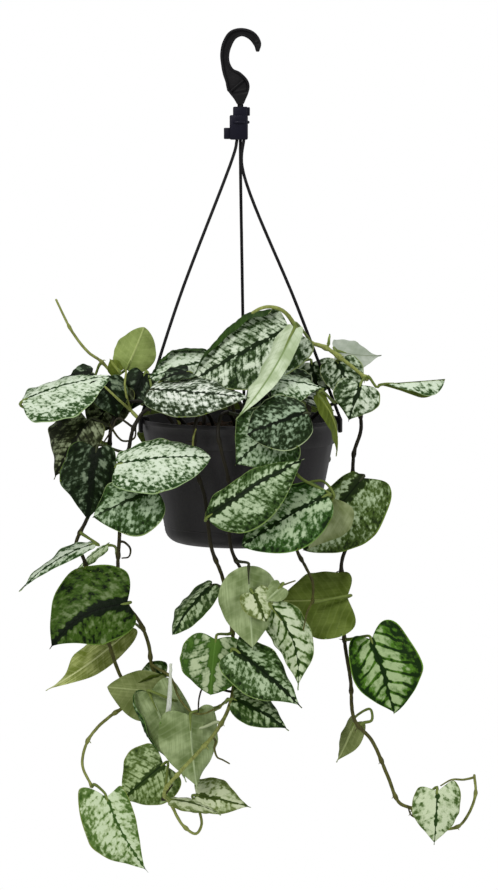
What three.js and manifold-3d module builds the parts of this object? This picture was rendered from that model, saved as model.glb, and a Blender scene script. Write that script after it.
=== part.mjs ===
// Satin pothos (Scindapsus pictus) trailing from a plastic hanging pot.
// Millimetres, +Z up, -Y is the front. The origin is the point where the hook
// bears on its rod: the highest point inside the hook's bend.
import * as THREE from "three";
import { mergeVertices } from "three/addons/utils/BufferGeometryUtils.js";
import Module from "manifold-3d";

const wasm = await Module();
wasm.setup();

// ---------------------------------------------------------------- driving sizes
const gap = 0.3; // running and seating clearance between touching pieces

const pot = {
  rimRadius: 75,
  rimTop: -284,
  bandHeight: 18,
  bandFootRadius: 71,
  wallTopRadius: 69.5,
  baseRadius: 57,
  height: 93,
  cornerRadius: 11,
  wall: 1.5,
  rimEdge: 2.6, // height of the straight lip at the top of the band
  rimRound: 0.8,
  footRing: 5, // width of the ring the pot stands on
  footLift: 1.2, // how far the floor inside that ring is raised
  drainHoles: 6,
  drainRadius: 4,
  drainCircle: 30,
  facets: 32,
};
const potFoot = pot.rimTop - pot.height;

const soil = { top: pot.rimTop - 9, clear: gap + pot.wall + 0.5, floorClear: 0.4 };

const hook = {
  thickness: 7,
  rim: 1.7, // width of the raised border round the thin web
  web: 2.6,
  rib: { length: 13, height: 1.6, inset: 0.3, x: -2.6, z: -36.5, tilt: -0.72 },
  shankRadius: 2.2,
  shankTop: -47,
  buttonRadius: 3.6,
  buttonTop: -62,
  buttonHeight: 3,
};

// The hub's stacked blocks as [centre, size], and the round waist between them.
const hub = {
  top: -52,
  foot: -76.5,
  blocks: [
    [[0, 0, -55.5], [11, 9.5, 7]],
    [[-1.2, 0, -67.35], [13.6, 11, 18.3]],
    [[5.6, 0, -55.6], [3, 6, 6.4]],
    [[-9.8, 0, -71.8], [5, 7, 8.4]],
  ],
  waist: { radius: 7.4, low: -64.6, high: -62.4, x: -0.6 },
  shankClear: 0.4,
  buttonClear: 0.5,
};

const strand = { radius: 1.2, socket: 4, sides: 8, steps: 8, bowAt: 0.55 };
const clip = { width: 6, thick: 2.4, below: 9, innerDrop: 2, innerGap: 0.8 };

const vineStyle = { sides: 5, stepsPerPoint: 1.25, rootLift: gap + 0.1, rootRise: 7 };
const blade = { thickness: 1, rows: [0.08, 0.28, 0.56, 0.84], across: 2, twistPivot: 0.3 };

// The outline of every blade: how its rows crowd towards the base, how far an edge runs ahead
// of the midrib, how full the sides are, how the tip narrows and where the heart's notch ends.
const outline = {
  rows: 1.6,
  edge: 1.4,
  skew: 0.88,
  fullness: 0.7,
  taper: 0.42,
  taperPower: 8,
  notch: 0.4,
};

// The leaf stalk: clear of the vine by `clear`, straight for `lead`, then round under the blade.
const petiole = { radius: 1.1, reach: 3, sides: 4, steps: 4, clear: gap + 0.15, lead: 4, under: 2.5 };

// ---------------------------------------------------------------- materials
function finish(color, roughness, metalness = 0) {
  return new THREE.MeshStandardMaterial({ color, roughness, metalness });
}
const finishes = {
  plastic: finish(0x2a262a, 0.55),
  hubPlastic: finish(0x1d1b2c, 0.4),
  strandPlastic: finish(0x19181c, 0.45),
  soil: finish(0x2b2019, 0.95),
  vine: finish(0x3b3318, 0.6),
  silver: finish(0xa9c2ab, 0.45),
  mottled: finish(0x5f8562, 0.45),
  dark: finish(0x24401f, 0.45),
  sage: finish(0x8fa377, 0.6),
  olive: finish(0x6c7a3a, 0.6),
};

// ---------------------------------------------------------------- solids
function solidOf(geometry) {
  const bare = geometry.index ? geometry.toNonIndexed() : geometry.clone();
  bare.deleteAttribute("normal");
  bare.deleteAttribute("uv");
  const merged = mergeVertices(bare, 1e-3);
  return new wasm.Manifold(
    new wasm.Mesh({
      numProp: 3,
      vertProperties: merged.attributes.position.array,
      triVerts: new Uint32Array(merged.index.array),
    }),
  );
}

function geometryOf(solid) {
  const mesh = solid.getMesh();
  const geometry = new THREE.BufferGeometry();
  const places = new Float32Array(mesh.vertProperties);
  geometry.setAttribute("position", new THREE.BufferAttribute(places, 3));
  geometry.setIndex(new THREE.BufferAttribute(new Uint32Array(mesh.triVerts), 1));
  geometry.computeVertexNormals();
  return geometry;
}

const joined = (first, ...rest) => rest.reduce((sum, next) => sum.add(next), first);
const cut = (first, ...rest) => rest.reduce((left, tool) => left.subtract(tool), first);
const point = (p) => new THREE.Vector3(...p);

const part = new THREE.Group();
part.name = "satin_pothos";
function addPiece(name, solid, material) {
  const mesh = new THREE.Mesh(geometryOf(solid), material);
  mesh.name = name;
  part.add(mesh);
}

function roundTube(path, radius, sides, steps) {
  const section = new THREE.Shape();
  for (let i = 0; i < sides; i++) {
    const a = (i / sides) * Math.PI * 2;
    const x = radius * Math.cos(a);
    const y = radius * Math.sin(a);
    if (i === 0) section.moveTo(x, y);
    else section.lineTo(x, y);
  }
  return solidOf(new THREE.ExtrudeGeometry(section, { steps, extrudePath: path }));
}

function block(center, size, turn = 0) {
  const geometry = new THREE.BoxGeometry(...size);
  geometry.rotateZ(turn);
  geometry.translate(...center);
  return solidOf(geometry);
}

function upright(radius, low, high, x = 0, y = 0, facets = 20) {
  const geometry = new THREE.CylinderGeometry(radius, radius, high - low, facets);
  geometry.rotateX(Math.PI / 2);
  geometry.translate(x, y, (low + high) / 2);
  return solidOf(geometry);
}

// A turned solid. The profile runs from the axis round to the axis as [radius, height].
function turned(profile, facets) {
  const line = profile.map(([r, z]) => new THREE.Vector2(r, z));
  const geometry = new THREE.LatheGeometry(line, facets);
  geometry.rotateX(Math.PI / 2);
  return solidOf(geometry);
}

// ---------------------------------------------------------------- hook, hub and strands
// The hook's middle line from its nose to its foot: x, z and half the width there.
const hookLine = [
  [12.8, -10.4, 1.5],
  [12.6, -5.6, 2.9],
  [8.6, 0.2, 3.3],
  [1.2, 3, 3],
  [-5.6, 0.8, 3.6],
  [-9.9, -6, 3.7],
  [-11.6, -13.8, 3.4],
  [-11, -20.4, 3.4],
  [-8.8, -26.6, 4.6],
  [-4.6, -32, 7.4],
  [-1.6, -37.4, 8.6],
  [-0.6, -42.2, 6.8],
  [-0.2, -46.4, 4.4],
  [0, -50, 2.6],
];

// The outline that lies `inset` inside the hook's edge, between two stations of its middle line.
function hookOutline(inset, from, to) {
  const line = hookLine.map(([x, z]) => new THREE.Vector2(x, z));
  const sides = [[], []];
  for (let i = from; i <= to; i++) {
    const before = line[Math.max(0, i - 1)];
    const after = line[Math.min(line.length - 1, i + 1)];
    const along = after.clone().sub(before).normalize();
    const reach = hookLine[i][2] - inset;
    sides[0].push(new THREE.Vector2(line[i].x - along.y * reach, line[i].y + along.x * reach));
    sides[1].push(new THREE.Vector2(line[i].x + along.y * reach, line[i].y - along.x * reach));
  }
  const smooth = (side) => new THREE.SplineCurve(side).getPoints(Math.round(side.length * 1.4));
  return new THREE.Shape([...smooth(sides[0]), ...smooth(sides[1]).reverse()]);
}

// A flat plate of that outline, lying between two depths along Y.
function hookPlate(shape, front, back) {
  const geometry = new THREE.ExtrudeGeometry(shape, { depth: back - front, bevelEnabled: false });
  geometry.rotateX(Math.PI / 2);
  geometry.translate(0, back, 0);
  return solidOf(geometry);
}

function makeHook() {
  const half = hook.thickness / 2;
  const last = hookLine.length - 1;
  const body = hookPlate(hookOutline(0, 0, last), -half, half);
  const pocket = hookOutline(hook.rim, 1, last - 2);
  const pockets = [
    hookPlate(pocket, -half - 1, -hook.web / 2),
    hookPlate(pocket, hook.web / 2, half + 1),
  ];
  const { length, height, inset, x, z, tilt } = hook.rib;
  const rib = new THREE.BoxGeometry(length, hook.thickness - 2 * inset, height);
  rib.rotateY(tilt);
  rib.translate(x, 0, z);
  const shank = upright(hook.shankRadius, hook.buttonTop - 1, hook.shankTop);
  const button = upright(hook.buttonRadius, hook.buttonTop - hook.buttonHeight, hook.buttonTop);
  return joined(cut(body, ...pockets), solidOf(rib), shank, button);
}

// Where each strand leaves the hub, where it bows, and its place on the rim in degrees.
const strands = [
  { name: "strand_left", rimAngle: 194, socket: [-2.6, -1.2], bow: 3.5 },
  { name: "strand_right", rimAngle: -14, socket: [2.6, -1.2], bow: 2.5 },
  { name: "strand_back", rimAngle: 88, socket: [0, 2.8], bow: 1 },
];

// The strand's middle line. `shorten` pulls its top end back from the bottom of the socket.
function strandPath(s, shorten = 0) {
  const a = THREE.MathUtils.degToRad(s.rimAngle);
  const out = new THREE.Vector3(Math.cos(a), Math.sin(a), 0);
  const seat = pot.rimRadius + gap + clip.thick / 2;
  const top = new THREE.Vector3(s.socket[0], s.socket[1], hub.foot);
  const end = out.clone().multiplyScalar(seat).setZ(pot.rimTop + 1);
  const slope = end.clone().sub(top).normalize();
  const start = top.clone().addScaledVector(slope, shorten - strand.socket);
  const middle = top.clone().lerp(end, strand.bowAt).addScaledVector(out, s.bow);
  return new THREE.CatmullRomCurve3([start, top, middle, end]);
}

// One leg of the clip that sits over the rim: a block between two radii and two heights.
function clipLeg(a, inner, outer, low, high) {
  const radius = (inner + outer) / 2;
  const center = [radius * Math.cos(a), radius * Math.sin(a), (low + high) / 2];
  return block(center, [outer - inner, clip.width, high - low], a);
}

function makeStrand(s) {
  const a = THREE.MathUtils.degToRad(s.rimAngle);
  const top = pot.rimTop + gap + clip.thick;
  const outer = pot.rimRadius + gap + clip.thick;
  const inner = pot.rimRadius - pot.wall - clip.innerGap - clip.thick;
  const outside = clipLeg(a, outer - clip.thick, outer, pot.rimTop - clip.below, top);
  const bridge = clipLeg(a, inner, outer, top - clip.thick, top);
  const inside = clipLeg(a, inner, inner + clip.thick, pot.rimTop - clip.innerDrop, top);
  const line = roundTube(strandPath(s), strand.radius, strand.sides, strand.steps);
  return joined(line, outside, bridge, inside);
}

function makeHub() {
  const { radius, low, high, x } = hub.waist;
  const blocks = hub.blocks.map(([center, size]) => block(center, size));
  const bore = upright(hook.shankRadius + hub.shankClear, hook.buttonTop - 1, hub.top + 1);
  const chamber = upright(
    hook.buttonRadius + hub.buttonClear,
    hook.buttonTop - hook.buttonHeight - gap,
    hook.buttonTop + gap,
  );
  const sockets = strands.map((s) =>
    roundTube(strandPath(s, -gap), strand.radius + gap, strand.sides, strand.steps),
  );
  return cut(joined(...blocks, upright(radius, low, high, x)), bore, chamber, ...sockets);
}

// ---------------------------------------------------------------- pot and soil
function makePot() {
  const { rimRadius, rimTop, rimEdge, rimRound, bandFootRadius, wallTopRadius, wall } = pot;
  const bandFoot = rimTop - pot.bandHeight;
  const corner = potFoot + pot.cornerRadius;
  const footEdge = pot.baseRadius - pot.cornerRadius;
  const floor = potFoot + pot.footLift;
  const outside = [
    [0, floor],
    [footEdge - pot.footRing - 1, floor],
    [footEdge - pot.footRing, potFoot],
    [footEdge, potFoot],
  ];
  for (let i = 1; i <= 3; i++) {
    const a = (i / 3) * (Math.PI / 2);
    const r = footEdge + pot.cornerRadius * Math.sin(a);
    outside.push([r, corner - pot.cornerRadius * Math.cos(a)]);
  }
  outside.push([wallTopRadius, bandFoot], [bandFootRadius, bandFoot - gap]);
  outside.push([rimRadius - rimRound, rimTop - rimEdge - rimRound]);
  outside.push([rimRadius, rimTop - rimEdge], [rimRadius, rimTop]);
  const inside = [
    [rimRadius - wall, rimTop],
    [rimRadius - wall, rimTop - rimEdge],
    [bandFootRadius - wall, bandFoot + wall],
    [wallTopRadius - wall, bandFoot - wall / 2],
    [pot.baseRadius - wall, corner],
    [(pot.baseRadius + footEdge) / 2, corner - pot.cornerRadius / 2 - wall],
    [footEdge, floor + wall],
    [0, floor + wall],
  ];
  const shell = turned([...outside, ...inside], pot.facets);
  const holes = [];
  for (let i = 0; i < pot.drainHoles; i++) {
    const a = (i / pot.drainHoles) * Math.PI * 2;
    const x = pot.drainCircle * Math.cos(a);
    const y = pot.drainCircle * Math.sin(a);
    holes.push(upright(pot.drainRadius, potFoot - 1, floor + 3 * wall, x, y, 10));
  }
  return cut(shell, ...holes);
}

// The soil fills the pot, clear of its wall all round.
function makeSoil() {
  const { wallTopRadius, bandFootRadius, baseRadius, cornerRadius, rimTop, bandHeight } = pot;
  const bandFoot = rimTop - bandHeight;
  const corner = potFoot + cornerRadius;
  const floor = potFoot + pot.footLift + pot.wall + soil.floorClear;
  const profile = [
    [0, floor],
    [baseRadius - cornerRadius - soil.clear, floor],
    [baseRadius - cornerRadius / 2 - soil.clear, corner - cornerRadius / 2],
    [baseRadius - soil.clear, corner],
    [wallTopRadius - soil.clear, bandFoot - pot.wall],
    [bandFootRadius - soil.clear, bandFoot + 2 * pot.wall],
    [bandFootRadius - soil.clear, soil.top],
    [0, soil.top],
  ];
  return turned(profile, pot.facets);
}

// ---------------------------------------------------------------- vines
// Each vine's middle line, from the soil outwards. The first two points stand over each other.
function fromSoil(x, y, ...rest) {
  return [[x, y, soil.top + vineStyle.rootLift], [x, y, soil.top + vineStyle.rootRise], ...rest];
}

const vines = {
  runner_top_left: {
    radius: 1.1,
    line: fromSoil(-46, -8, [-56, -7, -277], [-72, -7, -274], [-86, -12, -265], [-94, -16, -252],
      [-103, -16, -241], [-113, -14, -234], [-125, -12, -219], [-137, -12, -195]),
  },
  vine_left_outer: {
    radius: 1.4,
    line: fromSoil(-50, -28, [-60, -30, -275], [-76, -32, -269], [-89, -36, -273], [-95, -38, -286],
      [-97, -38, -304], [-102, -36, -331], [-114, -34, -357], [-122, -33, -376], [-117, -32, -385],
      [-113, -31, -398], [-106, -31, -424], [-98, -31, -450], [-91, -31, -471], [-85, -32, -484],
      [-86, -33, -496], [-96, -38, -503], [-106, -44, -511], [-114, -48, -522], [-117, -52, -538],
      [-110, -56, -553]),
  },
  vine_left_inner: {
    radius: 1.4,
    line: fromSoil(-40, -48, [-52, -56, -275], [-67, -62, -272], [-77, -63, -284], [-82, -61, -304],
      [-87, -57, -332], [-89, -53, -368], [-90, -50, -394], [-84, -46, -418], [-74, -44, -433],
      [-68, -43, -449], [-65, -40, -468], [-56, -37, -479], [-48, -38, -490], [-33, -40, -502],
      [-21, -44, -499], [-9, -56, -488]),
  },
  vine_front_left: {
    radius: 1.4,
    line: fromSoil(-20, -48, [-24, -60, -276], [-30, -73, -275], [-33, -80, -286], [-32, -76, -315],
      [-26, -75, -335], [-21, -74, -373], [-13, -72, -395], [-7, -62, -428], [-4, -58, -464],
      [-8, -60, -492], [-18, -63, -510], [-32, -66, -525], [-44, -66, -538], [-56, -62, -555],
      [-51, -57, -567], [-43, -51, -583], [-33, -45, -591], [-29, -41, -585], [-31, -38, -573]),
  },
  vine_front_middle: {
    radius: 1.3,
    line: fromSoil(-4, -52, [-8, -66, -275], [-14, -79, -276], [-16, -86, -288], [-13, -87, -303],
      [-8, -83, -325], [-7, -77, -371], [0, -72, -388], [10, -65, -401], [22, -62, -409], [31, -62, -413]),
  },
  vine_front_right: {
    radius: 1.3,
    line: fromSoil(24, -48, [28, -62, -274], [33, -73, -274], [37, -78, -285], [38, -70, -323],
      [41, -67, -374], [48, -69, -388], [53, -70, -399], [53, -67, -414]),
  },
  vine_right: {
    radius: 1.4,
    line: fromSoil(50, -30, [62, -38, -274], [76, -44, -268], [86, -46, -273], [89, -43, -288],
      [84, -41, -306], [83, -38, -327], [83, -36, -364], [75, -34, -390], [77, -34, -410],
      [77, -34, -441], [78, -34, -452], [82, -34, -477], [85, -34, -507], [98, -32, -523],
      [110, -30, -550], [119, -28, -571], [129, -26, -576], [138, -20, -584], [150, -16, -593],
      [164, -14, -592], [172, -14, -582], [177, -14, -567], [176, -14, -553]),
  },
  vine_top_right: {
    radius: 1.3,
    line: fromSoil(22, -10, [30, -20, -262], [38, -28, -240], [46, -34, -227], [60, -34, -228],
      [77, -34, -239], [93, -34, -252]),
  },
  shoot_back_left: {
    radius: 1.4,
    joined: true,
    line: fromSoil(-28, 34, [-38, 50, -274], [-48, 66, -272], [-54, 76, -286], [-54, 78, -312],
      [-50, 76, -340]),
  },
  shoot_back_middle: {
    radius: 1.4,
    joined: true,
    line: fromSoil(4, 44, [-4, 60, -272], [-8, 78, -270], [-9, 88, -284], [-6, 88, -312],
      [2, 84, -338], [6, 80, -358]),
  },
  shoot_back_right: {
    radius: 1.4,
    joined: true,
    line: fromSoil(34, 30, [42, 46, -273], [48, 62, -271], [53, 74, -284], [54, 78, -308],
      [48, 78, -334]),
  },
  shoot_crown: {
    radius: 1.3,
    joined: true,
    line: fromSoil(-4, 8, [-8, 10, -268], [-14, 14, -254], [-22, 18, -246]),
  },
};
for (const vine of Object.values(vines)) {
  vine.path = new THREE.CatmullRomCurve3(vine.line.map(point), false, "centripetal");
  vine.steps = Math.round(vine.line.length * vineStyle.stepsPerPoint);
}

// ---------------------------------------------------------------- leaves
// Each leaf: its vine, where the blade starts (base) and ends (tip), the way its upper side faces,
// its width, and its bend: fold and curl in degrees for its two halves, arch along its middle,
// sickle sideways and twist along its length. `finish` names its colour. Where given, `node` is the
// place on the vine its stalk leaves from, `via` are points the stalk passes, and `seat` moves the
// stalk's foot that many millimetres nearer the vine.
const leaves = {
  leaf_left_silver: {
    vine: "vine_left_outer", base: [-158, -46, -266], tip: [-95, -34, -250], faces: [-0.05, -0.62, 0.78],
    width: 58, fold: [8, -34], curl: [-14, -26], finish: "silver", node: [-97, -38, -300],
    via: [[-128, -34, -284]],
  },
  leaf_left_pale_round: {
    vine: "runner_top_left", base: [-84, -13, -245], tip: [-68, 3, -219], faces: [0.25, 0.95, 0.1],
    width: 38, fold: [6, 6], curl: [14, 14], lobe: 0.1, finish: "sage",
  },
  leaf_left_hanging: {
    vine: "vine_left_outer", base: [-106, -54, -282], tip: [-134, -54, -326], faces: [-0.45, -0.85, 0.2],
    width: 52, fold: [-14, -14], curl: [-20, -20], finish: "dark",
  },
  leaf_left_dark: {
    vine: "vine_left_inner", base: [-100, -67, -306], tip: [-111, -67, -354], faces: [-0.15, -0.95, 0.25],
    width: 44, fold: [-8, -8], curl: [-14, -14], finish: "dark",
  },
  leaf_front_pale: {
    vine: "vine_left_inner", base: [-88, -98, -308], tip: [-21, -102, -304], faces: [0, -0.72, 0.7],
    width: 54, fold: [4, -30], curl: [-14, -22], finish: "silver",
  },
  leaf_front_left_low: {
    vine: "vine_left_inner", base: [-60, -90, -329], tip: [-107, -90, -349], faces: [-0.05, -0.82, 0.55],
    width: 56, fold: [-10, -10], curl: [-18, -18], finish: "mottled",
  },
  leaf_left_sliver: {
    vine: "vine_left_outer", base: [-108, -54, -372], tip: [-163, -60, -407], faces: [-0.25, -0.42, 0.9],
    width: 34, fold: [-12, -12], curl: [-8, -8], arch: 0.08, finish: "silver",
  },
  leaf_left_narrow: {
    vine: "vine_left_inner", base: [-99, -20, -377], tip: [-133, -8, -407], faces: [-0.3, -0.3, 0.9],
    width: 30, fold: [-12, -12], curl: [-10, -10], finish: "mottled",
  },
  leaf_left_heart: {
    vine: "vine_left_outer", base: [-83, -66, -415], tip: [-140, -66, -449], faces: [-0.08, -0.95, 0.3],
    width: 60, fold: [-6, -6], curl: [-14, -14], sickle: -0.12, finish: "dark",
  },
  leaf_left_olive: {
    vine: "vine_left_inner", base: [-82, -18, -441], tip: [-146, -18, -489], faces: [0.3, 0.7, -0.62],
    width: 38, fold: [8, 8], curl: [16, 16], lobe: 0.08, finish: "olive",
  },
  leaf_low_olive: {
    vine: "vine_left_outer", base: [-58, -50, -484], tip: [-99, -48, -480], faces: [0, 0.97, -0.1],
    width: 42, fold: [0, 0], curl: [-6, -6], finish: "olive",
    seat: 1.1,
  },
  leaf_low_sage_left: {
    vine: "vine_left_inner", base: [-67, -68, -482], tip: [-49, -74, -546], faces: [0.1, 0.95, 0],
    width: 50, fold: [8, 8], curl: [16, 16], finish: "sage",
    node: [-48, -38, -490],
    via: [[-49, -60, -488]],
  },
  leaf_low_sage_right: {
    vine: "vine_left_inner", base: [-33, -58, -498], tip: [-32, -54, -553], faces: [-0.3, 0.9, 0],
    width: 38, fold: [8, 8], curl: [14, 14], finish: "sage",
  },
  leaf_low_mottled: {
    vine: "vine_front_left", base: [-57, -52, -537], tip: [-90, -46, -567], faces: [-0.1, -0.95, 0.25],
    width: 48, fold: [-6, -6], curl: [-10, -10], finish: "mottled",
  },
  leaf_low_heart: {
    vine: "vine_left_outer", base: [-96, -66, -563], tip: [-68, -66, -616], faces: [-0.1, -0.97, 0.2],
    width: 48, fold: [-4, -4], curl: [-12, -12], finish: "silver",
    sickle: -0.04,
    asym: -0.1,
  },
  leaf_low_thin: {
    vine: "vine_front_left", base: [-50, -69, -560], tip: [-14, -68, -572], faces: [0, -0.15, 0.98],
    width: 28, fold: [-8, -8], curl: [-8, -8], finish: "mottled",
  },
  leaf_low_grey: {
    vine: "vine_front_left", base: [-33, -48, -561], tip: [8, -46, -571], faces: [0.05, -0.85, 0.52],
    width: 34, fold: [-10, -10], curl: [-12, -12], finish: "silver",
  },
  leaf_mid_left_narrow: {
    vine: "vine_front_left", base: [-21, -60, -402], tip: [-52, -68, -439], faces: [-0.65, -0.6, 0.45],
    width: 31, fold: [-14, -14], curl: [-14, -14], finish: "mottled",
    seat: -0.2,
  },
  leaf_mid_sage: {
    vine: "vine_front_middle", base: [4, -92, -390], tip: [9, -88, -446], faces: [-0.1, 0.9, 0.2],
    width: 46, fold: [8, 8], curl: [12, 12], lobe: 0.1, finish: "sage",
  },
  leaf_mid_light: {
    vine: "vine_front_middle", base: [24, -92, -413], tip: [42, -88, -476], faces: [0.42, -0.88, 0.2],
    width: 50, fold: [-26, -6], curl: [-18, -14], sickle: 0.1, finish: "silver",
    via: [[31, -82, -409]],
    seat: -0.25,
  },
  leaf_mid_olive: {
    vine: "vine_front_right", base: [79, -56, -412], tip: [23, -60, -414], faces: [0.1, 0.85, -0.5],
    width: 56, fold: [6, 6], curl: [10, 10], finish: "olive",
  },
  leaf_mid_long: {
    vine: "vine_front_left", base: [-3, -88, -446], tip: [45, -88, -489], faces: [0.05, -0.8, 0.6],
    width: 44, fold: [-14, -14], curl: [-14, -14], finish: "mottled",
    node: [-6, -60, -474],
    via: [[-3, -86, -462]],
  },
  leaf_mid_dark: {
    vine: "vine_left_inner", base: [-5, -76, -484], tip: [36, -74, -508], faces: [-0.1, -0.62, 0.78],
    width: 44, fold: [-14, -14], curl: [-10, -10], finish: "dark",
  },
  leaf_mid_left_broad: {
    vine: "vine_front_left", base: [-18, -74, -439], tip: [-27, -68, -478], faces: [-0.1, -0.9, 0.4],
    width: 50, fold: [-6, -6], curl: [-14, -14], finish: "mottled",
  },
  leaf_right_heart: {
    vine: "vine_right", base: [97, -46, -445], tip: [114, -46, -501], faces: [0.08, -0.95, 0.3],
    width: 60, fold: [-2, -2], curl: [-10, -10], sickle: -0.04, finish: "dark",
    asym: 0.12,
  },
  leaf_right_small: {
    vine: "vine_right", base: [90, -16, -501], tip: [73, -20, -538], faces: [-0.75, -0.1, -0.2],
    width: 26, fold: [14, 14], curl: [14, 14], finish: "olive",
    node: [88, -34, -512],
    via: [[98, -31, -508], [97, -28, -500]],
    seat: -0.2,
  },
  leaf_right_low_heart: {
    vine: "vine_right", base: [144, -34, -561], tip: [144, -34, -602], faces: [0.05, -0.98, 0.15],
    width: 36, fold: [-8, -8], curl: [-16, -16], finish: "silver",
    seat: 1.1,
  },
  leaf_right_mottled: {
    vine: "vine_right", base: [90, -50, -324], tip: [46, -52, -378], faces: [0.12, -0.95, 0.3],
    width: 66, fold: [-6, -6], curl: [-12, -12], finish: "mottled",
  },
  leaf_front_low: {
    vine: "vine_front_right", base: [61, -92, -334], tip: [-3, -98, -367], faces: [0, -0.88, 0.5],
    width: 52, fold: [-6, -6], curl: [-16, -16], finish: "mottled",
    node: [38, -70, -316],
    via: [[46, -86, -322]],
  },
  leaf_front_olive: {
    vine: "vine_front_right", base: [67, -80, -336], tip: [57, -80, -376], faces: [0, 0.95, 0.2],
    width: 44, fold: [2, 2], curl: [4, 4], lobe: 0.08, finish: "olive",
    node: [38, -70, -328],
    via: [[60, -74, -324]],
  },
  leaf_front_long: {
    vine: "vine_front_left", base: [-20, -106, -343], tip: [46, -110, -304], faces: [-0.22, -0.9, 0.42],
    width: 54, fold: [-10, -10], curl: [-14, -14], finish: "mottled",
  },
  leaf_front_dark: {
    vine: "vine_front_right", base: [44, -97, -273], tip: [-4, -105, -291], faces: [0.05, -0.85, 0.5],
    width: 48, fold: [-6, -6], curl: [-16, -16], finish: "dark",
    seat: 1.1,
  },
  leaf_front_under: {
    vine: "vine_front_middle", base: [36, -86, -290], tip: [-1, -90, -311], faces: [-0.05, -0.9, 0.3],
    width: 44, fold: [-8, -8], curl: [-12, -12], finish: "mottled",
  },
  leaf_top_large: {
    vine: "vine_top_right", base: [34, -50, -208], tip: [-30, -57, -247], faces: [-0.1, -0.85, 0.55],
    width: 62, fold: [20, -8], curl: [120, -14], arch: 0.04, asym: 0.15, finish: "mottled",
    node: [38, -28, -240],
  },
  leaf_top_folded: {
    vine: "vine_top_right", base: [42, -72, -212], tip: [0, -106, -274], faces: [0.62, 0.72, -0.2],
    width: 38, fold: [8, 8], curl: [20, 20], finish: "sage",
    node: [52, -34, -227],
    seat: 0.4,
  },
  leaf_top_silver: {
    vine: "vine_left_inner", base: [-65, -66, -259], tip: [6, -90, -259], faces: [0, -0.62, 0.78],
    width: 50, fold: [-8, -8], curl: [-14, -14], sickle: -0.05, finish: "silver",
    seat: 1.5,
  },
  leaf_top_back_left: {
    vine: "vine_left_inner", base: [-28, -32, -238], tip: [-60, -42, -250], faces: [0, -0.7, 0.7],
    width: 38, fold: [-6, -6], curl: [-10, -10], finish: "silver",
    seat: 0.4,
  },
  leaf_top_light: {
    vine: "vine_top_right", base: [24, -73, -253], tip: [60, -71, -259], faces: [0, -0.45, 0.9],
    width: 28, fold: [-10, -10], curl: [-16, -16], finish: "silver",
    node: [38, -28, -240],
    via: [[38, -58, -263]],
  },
  leaf_right_olive_strip: {
    vine: "vine_right", base: [54, -70, -261], tip: [69, -52, -308], faces: [0.95, -0.3, 0.1],
    width: 32, curl: [-10, -10], arch: 0.12, finish: "olive",
    seat: 0.7,
  },
  leaf_right_droop: {
    vine: "vine_top_right", base: [88, -56, -255], tip: [79, -60, -282], faces: [0.1, -0.85, 0.5],
    width: 36, fold: [-6, -6], curl: [-14, -14], finish: "mottled",
  },
  leaf_right_twisted: {
    vine: "vine_top_right", base: [94, -37, -255], tip: [150, -38, -257], faces: [0, -0.3, 0.95],
    width: 32, fold: [-10, -10], curl: [-8, -8], twist: 50, finish: "mottled",
  },
};

const unit = (v) => v.clone().normalize();

// The blade's own frame: along the leaf, across it, and out of its upper side.
function leafFrame(leaf) {
  const base = point(leaf.base);
  const span = point(leaf.tip).sub(base);
  const along = unit(span);
  const faces = point(leaf.faces);
  const up = unit(faces.addScaledVector(along, -faces.dot(along)));
  const across = up.clone().cross(along);
  return { base, length: span.length(), along, across, up };
}

// A point of the upper side. s runs from the base to the tip, t from one edge (-1) to the other (1).
function leafPoint(leaf, s, t) {
  const { fold = [0, 0], curl = [0, 0], arch = 0.06, sickle = 0, twist = 0 } = leaf;
  const { lobe = 0.15, asym = 0 } = leaf;
  const { base, length, along, across, up } = leafFrame(leaf);
  const side = t < 0 ? 0 : 1;
  const q = Math.abs(t);
  const u = s ** outline.rows;
  const bowed = (w) => sickle * length * Math.sin(Math.PI * w);
  const lifted = (w) => length * arch * 4 * w * (1 - w);
  const middle = (w) => new THREE.Vector3(length * w, bowed(w), lifted(w));
  const tangent = unit(middle(Math.min(1, u + 0.01)).sub(middle(Math.max(0, u - 0.01))));
  const flat = unit(new THREE.Vector3(0, 0, 1).cross(tangent));
  const lift = tangent.clone().cross(flat);
  const roll = THREE.MathUtils.degToRad(twist) * (u - blade.twistPivot);
  const sideways = flat.clone().multiplyScalar(Math.cos(roll)).addScaledVector(lift, Math.sin(roll));
  const outwards = lift.clone().multiplyScalar(Math.cos(roll)).addScaledVector(flat, -Math.sin(roll));
  const half = (leaf.width / 2) * (side ? 1 + asym : 1 - asym);
  const bell = Math.sin(Math.PI * s ** outline.skew) ** outline.fullness;
  const reach = s >= 1 ? 0 : half * bell * (1 - outline.taper * s ** outline.taperPower);
  const lobeBack = s < outline.notch ? lobe * length * Math.sin((Math.PI * s) / outline.notch) : 0;
  const forward = length * s ** outline.edge - lobeBack - length * u;
  const bend = THREE.MathUtils.degToRad(fold[side]);
  const bow = THREE.MathUtils.degToRad(curl[side]) || 1e-4;
  const wide = (Math.sin(bend + bow * q) - Math.sin(bend)) / bow;
  const high = (Math.cos(bend) - Math.cos(bend + bow * q)) / bow;
  const local = middle(u)
    .addScaledVector(tangent, forward * q)
    .addScaledVector(sideways, (side ? 1 : -1) * reach * wide)
    .addScaledVector(outwards, reach * high);
  base.addScaledVector(along, local.x).addScaledVector(across, local.y);
  return base.addScaledVector(up, local.z);
}

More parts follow.
